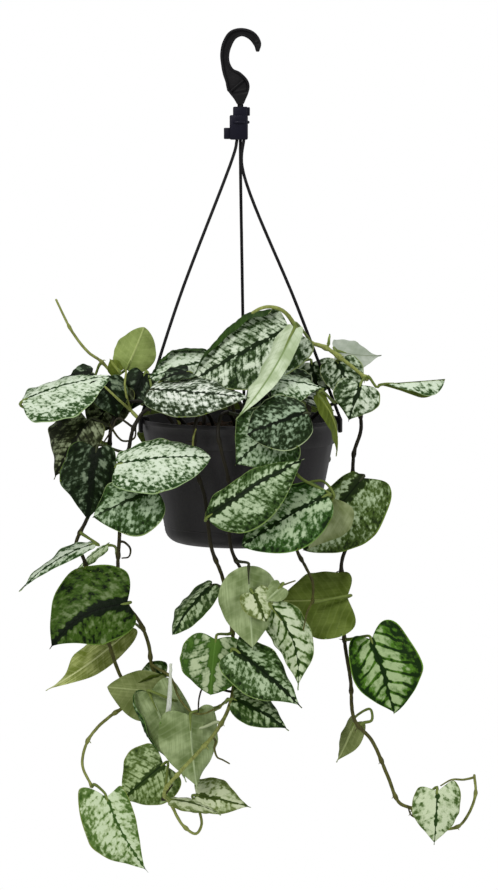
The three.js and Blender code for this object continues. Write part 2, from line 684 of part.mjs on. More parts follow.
// The blade as a closed sheet: an upper and a lower skin that meet all round the edge.
function makeBlade(leaf) {
  const { up } = leafFrame(leaf);
  const drop = up.clone().multiplyScalar(-blade.thickness);
  const columns = 2 * blade.across + 1;
  const upper = [leafPoint(leaf, 0, 0)];
  for (const s of blade.rows) {
    for (let k = 0; k < columns; k++) upper.push(leafPoint(leaf, s, k / blade.across - 1));
  }
  upper.push(leafPoint(leaf, 1, 0));
  const count = upper.length;
  const lower = upper.map((p) => p.clone().add(drop));
  const cell = (row, k) => 1 + row * columns + k;
  const faces = [];
  const both = (a, b, c) => faces.push([a, b, c], [a + count, c + count, b + count]);
  const lastRow = blade.rows.length - 1;
  for (let k = 0; k < columns - 1; k++) {
    both(0, cell(0, k), cell(0, k + 1));
    for (let row = 0; row < lastRow; row++) {
      both(cell(row, k), cell(row + 1, k), cell(row + 1, k + 1));
      both(cell(row, k), cell(row + 1, k + 1), cell(row, k + 1));
    }
    both(cell(lastRow, k), count - 1, cell(lastRow, k + 1));
  }
  const rim = [0];
  for (let row = 0; row <= lastRow; row++) rim.push(cell(row, 0));
  rim.push(count - 1);
  for (let row = lastRow; row >= 0; row--) rim.push(cell(row, columns - 1));
  rim.forEach((a, i) => {
    const b = rim[(i + 1) % rim.length];
    faces.push([b, a, a + count], [b, a + count, b + count]);
  });
  const geometry = new THREE.BufferGeometry();
  const places = [...upper, ...lower].flatMap((p) => p.toArray());
  geometry.setAttribute("position", new THREE.Float32BufferAttribute(places, 3));
  geometry.setIndex(faces.flat());
  const solid = solidOf(geometry);
  if (solid.volume() > 0) return solid;
  geometry.setIndex(faces.map(([a, b, c]) => [a, c, b]).flat());
  return solidOf(geometry);
}

// The point of a vine's middle line nearest to a place, with the vine's direction there.
function nearestOnVine(vine, place) {
  const samples = 200;
  let best = { distance: Infinity };
  for (let i = 2; i <= samples; i++) {
    const at = vine.path.getPointAt(i / samples);
    const distance = at.distanceTo(place);
    if (distance < best.distance) {
      best = { distance, at, along: vine.path.getTangentAt(i / samples) };
    }
  }
  return best;
}

// The leaf stalk: out of the vine square to it, past any `via` points, to the blade's base
// from below and a little way along the midrib. On a joined shoot it starts inside the stem.
function makePetiole(leaf) {
  const vine = vines[leaf.vine];
  const via = (leaf.via ?? []).map(point);
  const { base, length, along, up } = leafFrame(leaf);
  const node = nearestOnVine(vine, leaf.node ? point(leaf.node) : base);
  const away = (via[0] ?? base).clone().sub(node.at);
  const radial = unit(away.addScaledVector(node.along, -away.dot(node.along)));
  const start = node.at.clone();
  if (!vine.joined) start.addScaledVector(radial, vine.radius + petiole.clear - (leaf.seat ?? 0));
  const free = base.distanceTo(start);
  const lead = start.clone().addScaledVector(radial, Math.min(petiole.lead, free * 0.3));
  const under = base
    .clone()
    .addScaledVector(up, -Math.min(petiole.lead, free * 0.25))
    .addScaledVector(along, -Math.min(petiole.under, free * 0.15));
  const atBase = base.clone().addScaledVector(up, -blade.thickness / 2);
  const reach = Math.min(blade.rows[1], (petiole.reach / length) ** (1 / outline.rows));
  const inBlade = leafPoint(leaf, reach, 0).addScaledVector(up, -blade.thickness / 2);
  const path = new THREE.CatmullRomCurve3(
    [start, lead, ...via, under, atBase, inBlade],
    false,
    "centripetal",
  );
  return roundTube(path, petiole.radius, petiole.sides, petiole.steps + 2 * via.length);
}

const makeLeaf = (leaf) => joined(makeBlade(leaf), makePetiole(leaf));

// ---------------------------------------------------------------- leaves on the joined shoots
const shootLeaves = {
  shoot_back_left: [
    { base: [-60, 84, -280], tip: [-62, 96, -328], faces: [-0.5, 0.85, 0.3], width: 48 },
    { base: [-40, 84, -310], tip: [-28, 92, -356], faces: [0.1, 0.95, 0.3], width: 44 },
    { base: [-49, 60, -260], tip: [-72, 84, -272], faces: [-0.2, 0.3, 0.95], width: 44 },
  ],
  shoot_back_middle: [
    { base: [-20, 92, -276], tip: [-30, 104, -324], faces: [-0.2, 0.9, 0.4], width: 50 },
    { base: [6, 94, -300], tip: [20, 100, -346], faces: [0.2, 0.95, 0.3], width: 46 },
    { base: [-17, 62, -256], tip: [-26, 94, -262], faces: [-0.1, 0.2, 0.97], width: 36 },
  ],
  shoot_back_right: [
    { base: [46, 82, -278], tip: [34, 98, -318], faces: [0.1, 0.9, 0.45], width: 46 },
    { base: [60, 80, -300], tip: [58, 90, -346], faces: [0.5, 0.85, 0.3], width: 42 },
    { base: [52, 56, -258], tip: [66, 88, -268], faces: [0.25, 0.25, 0.93], width: 44 },
  ],
  shoot_crown: [
    { base: [-26, 22, -242], tip: [-60, 40, -250], faces: [-0.2, -0.2, 0.95], width: 44 },
    { base: [-16, 26, -246], tip: [6, 58, -250], faces: [0.1, 0.1, 0.98], width: 46 },
    { base: [-2, 12, -248], tip: [36, 34, -248], faces: [0.1, -0.1, 0.98], width: 42 },
  ],
};
const shootLeafBend = { fold: [-8, -8], curl: [-16, -16], arch: 0.1 };

// ---------------------------------------------------------------- assembly
addPiece("swivel_hook", makeHook(), finishes.plastic);
addPiece("hanger_hub", makeHub(), finishes.hubPlastic);
for (const s of strands) addPiece(s.name, makeStrand(s), finishes.strandPlastic);
addPiece("nursery_pot", makePot(), finishes.plastic);
addPiece("potting_soil", makeSoil(), finishes.soil);
for (const [name, vine] of Object.entries(vines)) {
  let solid = roundTube(vine.path, vine.radius, vineStyle.sides, vine.steps);
  for (const leaf of shootLeaves[name] ?? []) {
    solid = solid.add(makeLeaf({ vine: name, ...shootLeafBend, ...leaf }));
  }
  addPiece(name, solid, finishes.vine);
}
for (const [name, leaf] of Object.entries(leaves)) {
  addPiece(name, makeLeaf(leaf), finishes[leaf.finish]);
}

export default part;
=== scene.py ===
# Satin pothos trailing from a black plastic hanging pot.
# Metres in Blender, millimetres in the tables, +Z up and -Y the front. The origin is the point
# where the hook bears on its rod.
import math
import random

import bpy
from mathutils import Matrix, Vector, noise


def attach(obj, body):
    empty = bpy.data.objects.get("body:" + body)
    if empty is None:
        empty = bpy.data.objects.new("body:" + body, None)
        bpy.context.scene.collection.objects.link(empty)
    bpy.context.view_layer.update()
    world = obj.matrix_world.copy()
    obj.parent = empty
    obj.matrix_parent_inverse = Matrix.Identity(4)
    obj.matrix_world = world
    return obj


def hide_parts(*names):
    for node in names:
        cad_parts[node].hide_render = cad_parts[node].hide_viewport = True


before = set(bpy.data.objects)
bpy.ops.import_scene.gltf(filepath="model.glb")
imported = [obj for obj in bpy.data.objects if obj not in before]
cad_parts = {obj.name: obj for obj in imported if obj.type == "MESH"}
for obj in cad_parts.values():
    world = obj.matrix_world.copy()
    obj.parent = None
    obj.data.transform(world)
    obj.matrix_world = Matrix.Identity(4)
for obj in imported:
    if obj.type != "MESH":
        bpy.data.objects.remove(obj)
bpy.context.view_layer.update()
mm = 0.001
print("frame loaded with", len(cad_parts), "pieces")


# small helpers for numbers and curves
def smooth(value, low, high):
    w = min(1.0, max(0.0, (value - low) / (high - low)))
    return w * w * (3 - 2 * w)


def mixed(a, b, w):
    return a + (b - a) * w


def gauss(value, width):
    # 1 where the value is 0, and fading away over the width
    return math.exp(-(value / width) ** 2)


def around(count):
    # the angles of evenly spaced points on a circle
    return [2 * math.pi * k / count for k in range(count)]


def curveThrough(points, perSpan):
    # an even-tension curve that passes every point
    marks = [Vector(p) for p in points]
    marks = [2 * marks[0] - marks[1]] + marks + [2 * marks[-1] - marks[-2]]
    line = []
    for k in range(1, len(marks) - 2):
        a, b, c, d = marks[k - 1:k + 3]
        before, here, after = [max(1e-4, math.sqrt((q - p).length))
                               for p, q in ((a, b), (b, c), (c, d))]
        leave = ((b - a) / before - (c - a) / (before + here) + (c - b) / here) * here
        arrive = ((c - b) / here - (d - b) / (here + after) + (d - c) / after) * here
        for i in range(perSpan):
            w = i / perSpan
            line.append(b + leave * w + (3 * (c - b) - 2 * leave - arrive) * w * w
                        + (2 * (b - c) + leave + arrive) * w * w * w)
    line.append(marks[-2])
    return line


def lengthOf(line):
    return sum((b - a).length for a, b in zip(line, line[1:]))


def evenly(line, step):
    # the same line with its points about one step apart
    reach = [0.0]
    for a, b in zip(line, line[1:]):
        reach.append(reach[-1] + (b - a).length)
    count = max(2, round(reach[-1] / step))
    points, k = [], 0
    for i in range(count + 1):
        want = reach[-1] * i / count
        while k < len(line) - 2 and reach[k + 1] < want:
            k += 1
        span = max(1e-9, reach[k + 1] - reach[k])
        points.append(line[k].lerp(line[k + 1], (want - reach[k]) / span))
    return points


def wayAt(line, index):
    # the way a line runs at one of its points
    return line[min(len(line) - 1, index + 1)] - line[max(0, index - 1)]


# mesh building
class Build:
    # gathers points and faces in millimetres and makes one object of them
    def __init__(self):
        self.points, self.faces, self.parts, self.maps, self.youth = [], [], [], [], []

    def point(self, place, youth=0.5):
        self.points.append(tuple(c * mm for c in place))
        self.youth.append(youth)
        return len(self.points) - 1

    def face(self, ids, part=0, flat=None, place=None):
        self.faces.append(ids)
        self.parts.append(part)
        empty = [(0.0, 0.0)] * len(ids)
        self.maps.append((flat or empty, place or empty))

    def make(self, name, materials, seed=0.0, sharpAt=50):
        mesh = bpy.data.meshes.new(name)
        mesh.from_pydata(self.points, [], self.faces)
        for layer, which in (("bladeFlat", 0), ("bladePlace", 1)):
            corners = mesh.uv_layers.new(name=layer).data
            k = 0
            for pair in self.maps:
                for uv in pair[which]:
                    corners[k].uv = uv
                    k += 1
        mesh.polygons.foreach_set("material_index", self.parts)
        for label, values in (("youth", self.youth), ("seed", [seed] * len(self.points))):
            mesh.attributes.new(label, "FLOAT", "POINT").data.foreach_set("value", values)
        for material in materials:
            mesh.materials.append(material)
        mesh.shade_smooth()
        mesh.set_sharp_from_angle(angle=math.radians(sharpAt))
        mesh.validate()
        piece = bpy.data.objects.new(name, mesh)
        bpy.context.scene.collection.objects.link(piece)
        return piece


def tube(build, line, radius, sides=10, part=0, youth=None, rounded=(True, True), grow=0.0):
    # a round stem along a line: radius and youth are asked for at each point of it
    roundStep, roundSize = 0.8, 0.6  # the last ring of a rounded end, as shares of the radius
    flatTip, lumpsPerMm = 0.02, 0.35
    ahead = (line[1] - line[0]).normalized()
    out = ahead.orthogonal().normalized()
    rings, travelled = [], 0.0
    last = len(line) - 1
    ends = [[], []]
    for i, here in enumerate(line):
        nextAhead = wayAt(line, i).normalized()
        out = ahead.rotation_difference(nextAhead) @ out
        out = (out - nextAhead * out.dot(nextAhead)).normalized()
        ahead = nextAhead
        side = ahead.cross(out)
        if i:
            travelled += (here - line[i - 1]).length
        size = radius(i / last) if callable(radius) else radius
        young = youth(i / last) if youth else 0.5
        caps = [(0.0, 1.0)]
        if i == 0 and rounded[0]:
            caps = [(-roundStep, roundSize), (0.0, 1.0)]
        if i == last and rounded[1]:
            caps = [(0.0, 1.0), (roundStep, roundSize)]
        for shift, shrink in caps:
            ring = []
            for turn in around(sides):
                c, s = math.cos(turn), math.sin(turn)
                rough = noise.noise(Vector((c, s, travelled * lumpsPerMm)))
                reach = out * c + side * s
                ring.append(build.point(here + ahead * shift * size
                                        + reach * size * shrink * (1 + grow * rough), young))
            rings.append((ring, travelled + shift * size))
        if i in (0, last):
            tipStep = (-1 if i == 0 else 1) * (1 if rounded[i > 0] else flatTip)
            ends[i > 0] = build.point(here + ahead * size * tipStep, young)
    for (low, a), (high, b) in zip(rings, rings[1:]):
        for k in range(sides):
            m = (k + 1) % sides
            u, v = k / sides, (k + 1) / sides
            flat = [(a / 10, u), (a / 10, v), (b / 10, v), (b / 10, u)]
            build.face([low[k], low[m], high[m], high[k]], part, flat, flat)
    for k in range(sides):
        m = (k + 1) % sides
        build.face([ends[0], rings[0][0][m], rings[0][0][k]], part)
        build.face([ends[1], rings[-1][0][k], rings[-1][0][m]], part)


def ringStack(build, rings, closeHigh=True):
    # skins a stack of rings, each a list of points in millimetres, all of one length
    ids = [[build.point(p) for p in ring] for ring in rings]
    count = len(rings[0])
    for i, (low, high) in enumerate(zip(ids, ids[1:])):
        for k in range(count):
            m = (k + 1) % count
            left, right, below, above = k / count, (k + 1) / count, i / 10, (i + 1) / 10
            flat = [(left, below), (right, below), (right, above), (left, above)]
            build.face([low[k], low[m], high[m], high[k]], 0, flat, flat)
    build.face(list(reversed(ids[0])))
    if closeHigh:
        build.face(ids[-1])


def roundedOutline(halfWide, halfDeep, bevel, steps, inset=0.0):
    # a rectangle with rounded corners, drawn in by an inset at the corners' arcs
    outline = []
    for qx, qy, start in ((1, 1, 0), (-1, 1, 1), (-1, -1, 2), (1, -1, 3)):
        for i in range(steps + 1):
            a = math.pi / 2 * (start + i / steps)
            outline.append((qx * (halfWide - bevel) + (bevel - inset) * math.cos(a),
                            qy * (halfDeep - bevel) + (bevel - inset) * math.sin(a)))
    return outline


def softBlock(build, center, size, bevel, tilt=0.0):
    # a moulded block with rounded edges all round, tilted about Y
    hx, hy, hz = [v / 2 for v in size]
    steps = 3
    arc = [math.pi / 2 * i / steps for i in range(steps + 1)]
    levels = [(-hz + bevel * (1 - math.sin(a)), bevel * (1 - math.cos(a))) for a in reversed(arc)]
    levels += [(-z, inset) for z, inset in reversed(levels)]
    rings = []
    for z, inset in levels:
        rings.append([Vector(center) + Vector((x * math.cos(tilt) + z * math.sin(tilt), y,
                                               z * math.cos(tilt) - x * math.sin(tilt)))
                      for x, y in roundedOutline(hx, hy, bevel, steps, inset)])
    ringStack(build, rings)


def skinTurned(build, rings, low, high):
    # faces between rings of points round the upright axis, closed by one point at each end
    facets = len(rings[0])
    for k in range(facets):
        m = (k + 1) % facets
        build.face([low, rings[0][m], rings[0][k]])
        build.face([high, rings[-1][k], rings[-1][m]])
        for a, b in zip(rings, rings[1:]):
            build.face([a[k], a[m], b[m], b[k]])


def lathe(build, profile, facets, x=0.0, y=0.0):
    # turns an outline of (radius, height) round the upright axis; it starts and ends on the axis
    rings = [[build.point((x + r * math.cos(a), y + r * math.sin(a), z)) for a in around(facets)]
             for r, z in profile[1:-1]]
    low, high = [build.point((x, y, z)) for z in (profile[0][1], profile[-1][1])]
    skinTurned(build, rings, low, high)


def carve(piece, tools, how="DIFFERENCE"):
    # cuts the tools out of a piece, or joins them to it, and bakes the result
    for tool in tools:
        step = piece.modifiers.new(how, "BOOLEAN")
        step.operation = how
        step.solver = "EXACT"
        step.object = tool
    bpy.context.view_layer.update()
    shaped = piece.evaluated_get(bpy.context.evaluated_depsgraph_get())
    done = bpy.data.meshes.new_from_object(shaped)
    piece.modifiers.clear()
    piece.data = done
    for tool in tools:
        bpy.data.objects.remove(tool)


# materials
def tint(r, g, b):
    # a colour picked from the screen, as Blender's shaders want it
    parts = [c / 255 for c in (r, g, b)]
    return tuple(c / 12.92 if c <= 0.04045 else ((c + 0.055) / 1.055) ** 2.4
                 for c in parts) + (1.0,)


def newMaterial(name, roughness=0.5, specular=0.5):
    material = bpy.data.materials.new(name)
    material.use_nodes = True
    tree = material.node_tree
    shader = tree.nodes["Principled BSDF"]
    shader.inputs["Roughness"].default_value = roughness
    shader.inputs["Specular IOR Level"].default_value = specular
    return material, tree, shader


def node(tree, kind, **settings):
    made = tree.nodes.new(kind)
    for key, value in settings.items():
        setattr(made, key, value)
    return made


def feed(tree, socket, value):
    if isinstance(value, bpy.types.NodeSocket):
        tree.links.new(value, socket)
    else:
        socket.default_value = value


def calc(tree, how, *values):
    made = node(tree, "ShaderNodeMath", operation=how)
    for socket, value in zip(made.inputs, values):
        feed(tree, socket, value)
    return made.outputs[0]


def times(tree, value, factor):
    return calc(tree, "MULTIPLY", value, factor)


def timesPlus(tree, value, factor, more):
    return calc(tree, "MULTIPLY_ADD", value, factor, more)


def spread(tree, value, limits, results=(0.0, 1.0), kind="SMOOTHSTEP"):
    # takes what lies between the limits to what lies between the results
    made = node(tree, "ShaderNodeMapRange", interpolation_type=kind)
    for socket, given in zip(made.inputs, (value, *limits, *results)):
        feed(tree, socket, given)
    return made.outputs[0]


def blendTint(tree, amount, first, second):
    made = node(tree, "ShaderNodeMix", data_type="RGBA")
    feed(tree, made.inputs[0], amount)
    feed(tree, made.inputs[6], first)
    feed(tree, made.inputs[7], second)
    return made.outputs[2]


def grain(tree, place, scale, detail=2.0, seed=None):
    made = node(tree, "ShaderNodeTexNoise", noise_dimensions="3D" if seed is None else "4D")
    feed(tree, made.inputs["Vector"], place)
    feed(tree, made.inputs["Scale"], scale)
    feed(tree, made.inputs["Detail"], detail)
    if seed is not None:
        feed(tree, made.inputs["W"], seed)
    return made.outputs[0]


def stretch(tree, place, factors):
    made = node(tree, "ShaderNodeVectorMath", operation="MULTIPLY")
    feed(tree, made.inputs[0], place)
    feed(tree, made.inputs[1], factors)
    return made.outputs[0]


def addBump(tree, shader, height, depth):
    made = node(tree, "ShaderNodeBump")
    made.inputs["Distance"].default_value = depth
    feed(tree, made.inputs["Height"], height)
    tree.links.new(made.outputs[0], shader.inputs["Normal"])


# the side veins, in centimetres: how far apart, how much they lean forwards, how far the two
# halves are out of step and how much they wander
veinShape = {"spacing": 0.52, "lean": 0.5, "outOfStep": 0.17, "wander": 0.9}
# how the silver patches are drawn out along the side veins
patchShape = {"slant": -0.3, "along": 0.92, "across": 0.97}


def bladeInputs(tree):
    # where a point lies on its blade: along and across it in centimetres, its shares, and the seed
    flat = node(tree, "ShaderNodeUVMap", uv_map="bladeFlat").outputs[0]
    place = node(tree, "ShaderNodeUVMap", uv_map="bladePlace").outputs[0]
    seed = node(tree, "ShaderNodeAttribute", attribute_name="seed").outputs["Fac"]
    flatParts = node(tree, "ShaderNodeSeparateXYZ")
    placeParts = node(tree, "ShaderNodeSeparateXYZ")
    feed(tree, flatParts.inputs[0], flat)
    feed(tree, placeParts.inputs[0], place)
    along, across = flatParts.outputs[0], flatParts.outputs[1]
    side = calc(tree, "ABSOLUTE", across)
    share = placeParts.outputs[0]
    out = calc(tree, "ABSOLUTE", timesPlus(tree, placeParts.outputs[1], 2.0, -1.0))
    slanted = node(tree, "ShaderNodeCombineXYZ")
    onVein = timesPlus(tree, side, patchShape["slant"], along)
    feed(tree, slanted.inputs[0], times(tree, onVein, patchShape["along"]))
    feed(tree, slanted.inputs[1], times(tree, across, patchShape["across"]))
    return {"flat": flat, "slanted": slanted.outputs[0], "seed": seed, "along": along,
            "across": across, "side": side, "share": share, "out": out}


def sideVeins(tree, at, wobble, look):
    # 1 on the side veins, which leave the midrib forwards at a slant
    shape = {**veinShape, **look}
    spacing = shape["spacing"]
    step = timesPlus(tree, at["side"], -shape["lean"] / spacing,
                     times(tree, at["along"], 1 / spacing))
    shift = timesPlus(tree, calc(tree, "SIGN", at["across"]), shape["outOfStep"], step)
    phase = timesPlus(tree, wobble, shape["wander"], shift)
    return timesPlus(tree, calc(tree, "COSINE", times(tree, phase, 2 * math.pi)), 0.5, 0.5)


# What the upper sides look like, with colours as red, green and blue from 0 to 255. cover sets
# how much stays green, edge and ribGain how much greener it is at the margin and beside the
# midrib, ribWide the dark zone's half width in cm, dots the spots per cm, and veins how green the
# side veins are. A look may change the veins' spacing and lean, and edgeFrom, the share of the
# way out where the margin's green starts.
# the brightest silver of every look is partly the colour of the silver's satin highlights: painted
# highlight
leafLooks = {
    "mintSpeckled": {"green": (52, 84, 34), "deep": (26, 52, 16), "silver": (186, 206, 172),
        "bright": (228, 242, 218), "rib": (34, 62, 22), "margin": (160, 186, 132), "cover": 0.41,
        "edge": 0.15, "ribGain": 0.22, "ribWide": 0.13, "dots": 4.2, "veins": 0.03},
    "mottled": {"green": (54, 84, 34), "deep": (22, 40, 10), "silver": (146, 170, 134),
        "bright": (190, 212, 176), "rib": (28, 50, 14), "margin": (150, 174, 110), "cover": 0.46,
        "edge": 0.14, "ribGain": 0.25, "ribWide": 0.16, "dots": 3.9, "veins": 0.04},
    "oliveBlotched": {"green": (44, 50, 24), "deep": (16, 22, 6), "silver": (112, 122, 88),
        "bright": (160, 170, 136), "rib": (18, 22, 8), "margin": (112, 120, 62), "cover": 0.485,
        "edge": 0.08, "ribGain": 0.2, "ribWide": 0.2, "dots": 2.6, "veins": 0.08},
    # near-black green: partly the leaves' own dark green, mostly painted shade for the leaves deep
    # in the crown and on the shaded left side
    "darkBlue": {"green": (26, 42, 16), "deep": (8, 20, 4), "silver": (92, 110, 86),
        "bright": (138, 154, 126), "rib": (8, 18, 4), "margin": (84, 108, 52), "cover": 0.52,
        "edge": 0.06, "ribGain": 0.25, "ribWide": 0.35, "dots": 2.9, "veins": 0.05},
    "mintGreen": {"green": (100, 132, 62), "deep": (66, 98, 36), "silver": (184, 206, 152),
        "bright": (222, 240, 198), "rib": (64, 98, 38), "margin": (140, 156, 76), "cover": 0.4,
        "edge": 0.16, "ribGain": 0.25, "ribWide": 0.15, "dots": 3.8, "veins": 0.06},
    "darkHeart": {"green": (64, 94, 24), "deep": (10, 24, 4), "silver": (96, 116, 64),
        "bright": (122, 142, 94), "rib": (6, 14, 3), "margin": (108, 140, 56), "cover": 0.54,
        "edge": 0.04, "ribGain": 0.3, "ribWide": 0.5, "dots": 3.0, "veins": 0.04},
    "greenMottled": {"green": (58, 96, 36), "deep": (22, 42, 10), "silver": (146, 172, 128),
        "bright": (196, 218, 176), "rib": (16, 34, 8), "margin": (116, 154, 72), "cover": 0.46,
        "edge": 0.18, "ribGain": 0.28, "ribWide": 0.22, "dots": 3.9, "veins": 0.04},
    "yellowMottled": {"green": (96, 120, 54), "deep": (50, 72, 24), "silver": (152, 174, 118),
        "bright": (190, 210, 154), "rib": (30, 50, 14), "margin": (136, 152, 74), "cover": 0.435,
        "edge": 0.12, "ribGain": 0.34, "ribWide": 0.3, "dots": 3.6, "veins": 0.1},
    "greyStriped": {"green": (118, 134, 72), "deep": (76, 94, 38), "silver": (182, 198, 146),
        "bright": (222, 232, 190), "rib": (60, 78, 28), "margin": (142, 150, 80), "cover": 0.39,
        "edge": 0.15, "ribGain": 0.32, "ribWide": 0.2, "dots": 3.4, "veins": 0.05},
    "darkStriped": {"green": (60, 88, 32), "deep": (24, 46, 10), "silver": (142, 162, 116),
        "bright": (188, 208, 166), "rib": (16, 32, 6), "margin": (114, 140, 70), "cover": 0.46,
        "edge": 0.13, "ribGain": 0.32, "ribWide": 0.28, "dots": 3.2, "veins": 0.08},
    "lightStriped": {"green": (76, 108, 38), "deep": (40, 66, 16), "silver": (188, 208, 158),
        "bright": (228, 242, 204), "rib": (32, 56, 14), "margin": (150, 168, 96), "cover": 0.38,
        "edge": 0.14, "ribGain": 0.34, "ribWide": 0.14, "dots": 2.6, "veins": 0.16, "spacing": 0.85,
        "lean": 0.7},
    "silverStriped": {"green": (66, 94, 42), "deep": (22, 40, 10), "silver": (146, 170, 126),
        "bright": (196, 216, 176), "rib": (12, 26, 6), "margin": (132, 160, 88), "cover": 0.44,
        "edge": 0.18, "ribGain": 0.36, "ribWide": 0.3, "dots": 3.8, "veins": 0.07},
    "greenBroad": {"green": (56, 90, 28), "deep": (84, 122, 44), "silver": (156, 176, 130),
        "bright": (204, 220, 176), "rib": (100, 140, 58), "margin": (112, 142, 62), "cover": 0.42,
        "edge": 0.16, "ribGain": 0.36, "ribWide": 0.44, "dots": 2.2, "veins": 0.07},
    "greenHeart": {"green": (84, 130, 34), "deep": (22, 48, 8), "silver": (144, 170, 114),
        "bright": (182, 206, 150), "rib": (18, 42, 6), "margin": (120, 164, 56), "cover": 0.4,
        "edge": 0.34, "ribGain": 0.36, "ribWide": 0.24, "dots": 2.6, "veins": 0.26, "spacing": 0.92,
        "lean": 0.62, "edgeFrom": 0.35},
    "sageMint": {"green": (84, 112, 50), "deep": (48, 76, 28), "silver": (184, 204, 156),
        "bright": (226, 240, 200), "rib": (42, 68, 24), "margin": (126, 140, 66), "cover": 0.37,
        "edge": 0.14, "ribGain": 0.36, "ribWide": 0.14, "dots": 3.2, "veins": 0.05},
    "denseMottled": {"green": (78, 102, 40), "deep": (32, 48, 14), "silver": (146, 168, 120),
        "bright": (194, 214, 172), "rib": (18, 30, 8), "margin": (118, 144, 54), "cover": 0.46,
        "edge": 0.14, "ribGain": 0.32, "ribWide": 0.5, "dots": 4.2, "veins": 0.03},
    "darkMottled": {"green": (32, 50, 20), "deep": (12, 24, 8), "silver": (100, 122, 92),
        "bright": (164, 186, 156), "rib": (10, 20, 6), "margin": (176, 194, 146), "cover": 0.485,
        "edge": 0.1, "ribGain": 0.22, "ribWide": 0.2, "dots": 3.7, "veins": 0.04},
    "greyMottled": {"green": (54, 78, 36), "deep": (16, 34, 8), "silver": (170, 188, 156),
        "bright": (234, 246, 222), "rib": (26, 44, 14), "margin": (156, 172, 112), "cover": 0.455,
        "edge": 0.08, "ribGain": 0.24, "ribWide": 0.2, "dots": 3.4, "veins": 0.08},
    "silverWhite": {"green": (50, 66, 38), "deep": (20, 34, 14), "silver": (176, 190, 168),
        "bright": (246, 252, 240), "rib": (34, 50, 26), "margin": (124, 138, 100), "cover": 0.45,
        "edge": 0.12, "ribGain": 0.14, "ribWide": 0.14, "dots": 3.8, "veins": 0.05},
}
# the undersides: plain, softly veined, with the midrib standing proud
leafBacks = {
    "paleGreen": {"field": (158, 180, 118), "shade": (118, 142, 80), "rib": (182, 200, 144),
        "streak": 0.2},
    "olive": {"field": (116, 134, 58), "shade": (80, 98, 24), "rib": (150, 164, 92),
        "streak": 0.35},
    "paleOlive": {"field": (152, 164, 104), "shade": (104, 118, 58), "rib": (172, 184, 124),
        "streak": 0.35},
    "yellowSage": {"field": (156, 174, 100), "shade": (118, 136, 66), "rib": (182, 196, 124),
        "streak": 0.2},
    "greyOlive": {"field": (170, 182, 134), "shade": (112, 126, 70), "rib": (176, 188, 140),
        "streak": 0.3},
    "sage": {"field": (182, 200, 146), "shade": (112, 132, 76), "rib": (184, 202, 152),
        "streak": 0.35},
    "oliveStreaked": {"field": (204, 214, 136), "shade": (114, 130, 44), "rib": (214, 222, 156),
        "streak": 0.7},
    "greyGreen": {"field": (196, 204, 190), "shade": (160, 172, 152), "rib": (150, 162, 138),
        "streak": 0.3},
    # a dark underside that is painted shade: it darkens curled-over margins and the leaves that
    # fill shaded gaps
    "darkGreen": {"field": (52, 82, 26), "shade": (26, 48, 10), "rib": (88, 114, 44),
        "streak": 0.3},
    "palest": {"field": (238, 242, 232), "shade": (212, 220, 198), "rib": (226, 232, 214),
        "streak": 0.1},
    "mintSmooth": {"field": (234, 248, 216), "shade": (178, 198, 152), "rib": (140, 164, 108),
        "streak": 0.3},
    "yellowOlive": {"field": (124, 140, 54), "shade": (88, 104, 30), "rib": (156, 170, 84),
        "streak": 0.4},
}
stalkLooks = {
    "young": {"skin": (134, 152, 76), "shade": (96, 112, 46)},
    "old": {"skin": (66, 72, 42), "shade": (42, 46, 28)},
    "pale": {"skin": (214, 222, 188), "shade": (176, 190, 140)},
}

# sizes as spots per cm or times the look's dots, shares of each in the patches' pattern, and
# pairs that say from where to where a zone or a colour step runs
topShading = {
    "specular": 0.1, "broad": 0.7, "patches": 0.32, "specks": 2.6, "pebbles": 11.0,
    "patchShare": 0.36, "dotShare": 0.56, "speckShare": 0.24, "lift": 0.04,
    "feather": 0.5, "ribTaper": -0.7, "ribLeast": 0.02, "ribZone": (0.3, 1.5),
    "edgeFrom": 0.4, "edgeTo": 0.98, "veinZone": (0.5, 0.95), "veinStep": (0.72, 1.0),
    "silverStep": (-0.06, 0.06), "greenStep": (-0.15, 0.03), "brightStep": (0.1, 0.26),
    "greenDrift": 0.14, "brightDrift": 0.2, "ribLine": (0.025, 0.085, -0.05), "rim": (0.955, 0.985),
    "roughness": (0.5, 0.36), "silverHeight": 0.25, "veinHeight": -0.5, "bump": 0.00022,
}
backShading = {
    "specular": 0.12, "broad": 0.8, "fieldStep": (0.3, 0.7), "fibre": (0.5, 9.0, 1.0),
    "fibreStep": (0.45, 0.62), "veinStep": (0.8, 1.0), "veinTint": 0.15,
    "ribLine": (0.04, 0.11, -0.06), "pebbles": 9.0, "pebbleStep": (0.3, 0.7),
    "roughness": (0.48, 0.6), "veinHeight": 0.8, "bump": 0.0002,
}
# spots per metre, as for the plastics below
stemShading = {
    "specular": 0.25, "blotches": 220.0, "fibres": 1400.0, "fibreStretch": (1.0, 1.0, 0.25),
    "ageSpread": 0.5, "fibreStep": (0.4, 0.7), "fibreShare": 0.35, "roughStep": (0.3, 0.7),
    "smoother": 0.08, "rougher": 0.1,
}
stalkSkin = {"roughness": 0.5, "bump": 0.0001}
vineLook = {"tones": ((24, 20, 15), (48, 44, 24), (104, 104, 48), (166, 176, 96)),
            "roughness": 0.55, "bump": 0.0002}
plasticShading = {
    "grain": 900.0, "flow": 90.0, "flowStretch": (1.0, 1.0, 0.12), "clouds": 26.0,
    "cloudStep": (0.45, 0.75), "grainStep": (0.35, 0.65), "dustShare": 0.55,
    "flowStep": (0.5, 0.8), "flowShare": 0.35, "roughStep": (0.3, 0.7), "smoother": 0.07,
    "rougher": 0.1, "flowHeight": 0.4, "bump": 0.00012,
}


def ribLineAt(tree, at, line):
    # 1 on the midrib, whose line narrows from the foot of the blade to its tip
    thin, wide, taper = line
    edge = timesPlus(tree, at["share"], taper, wide)
    return spread(tree, at["side"], (thin, edge), (1.0, 0.0))


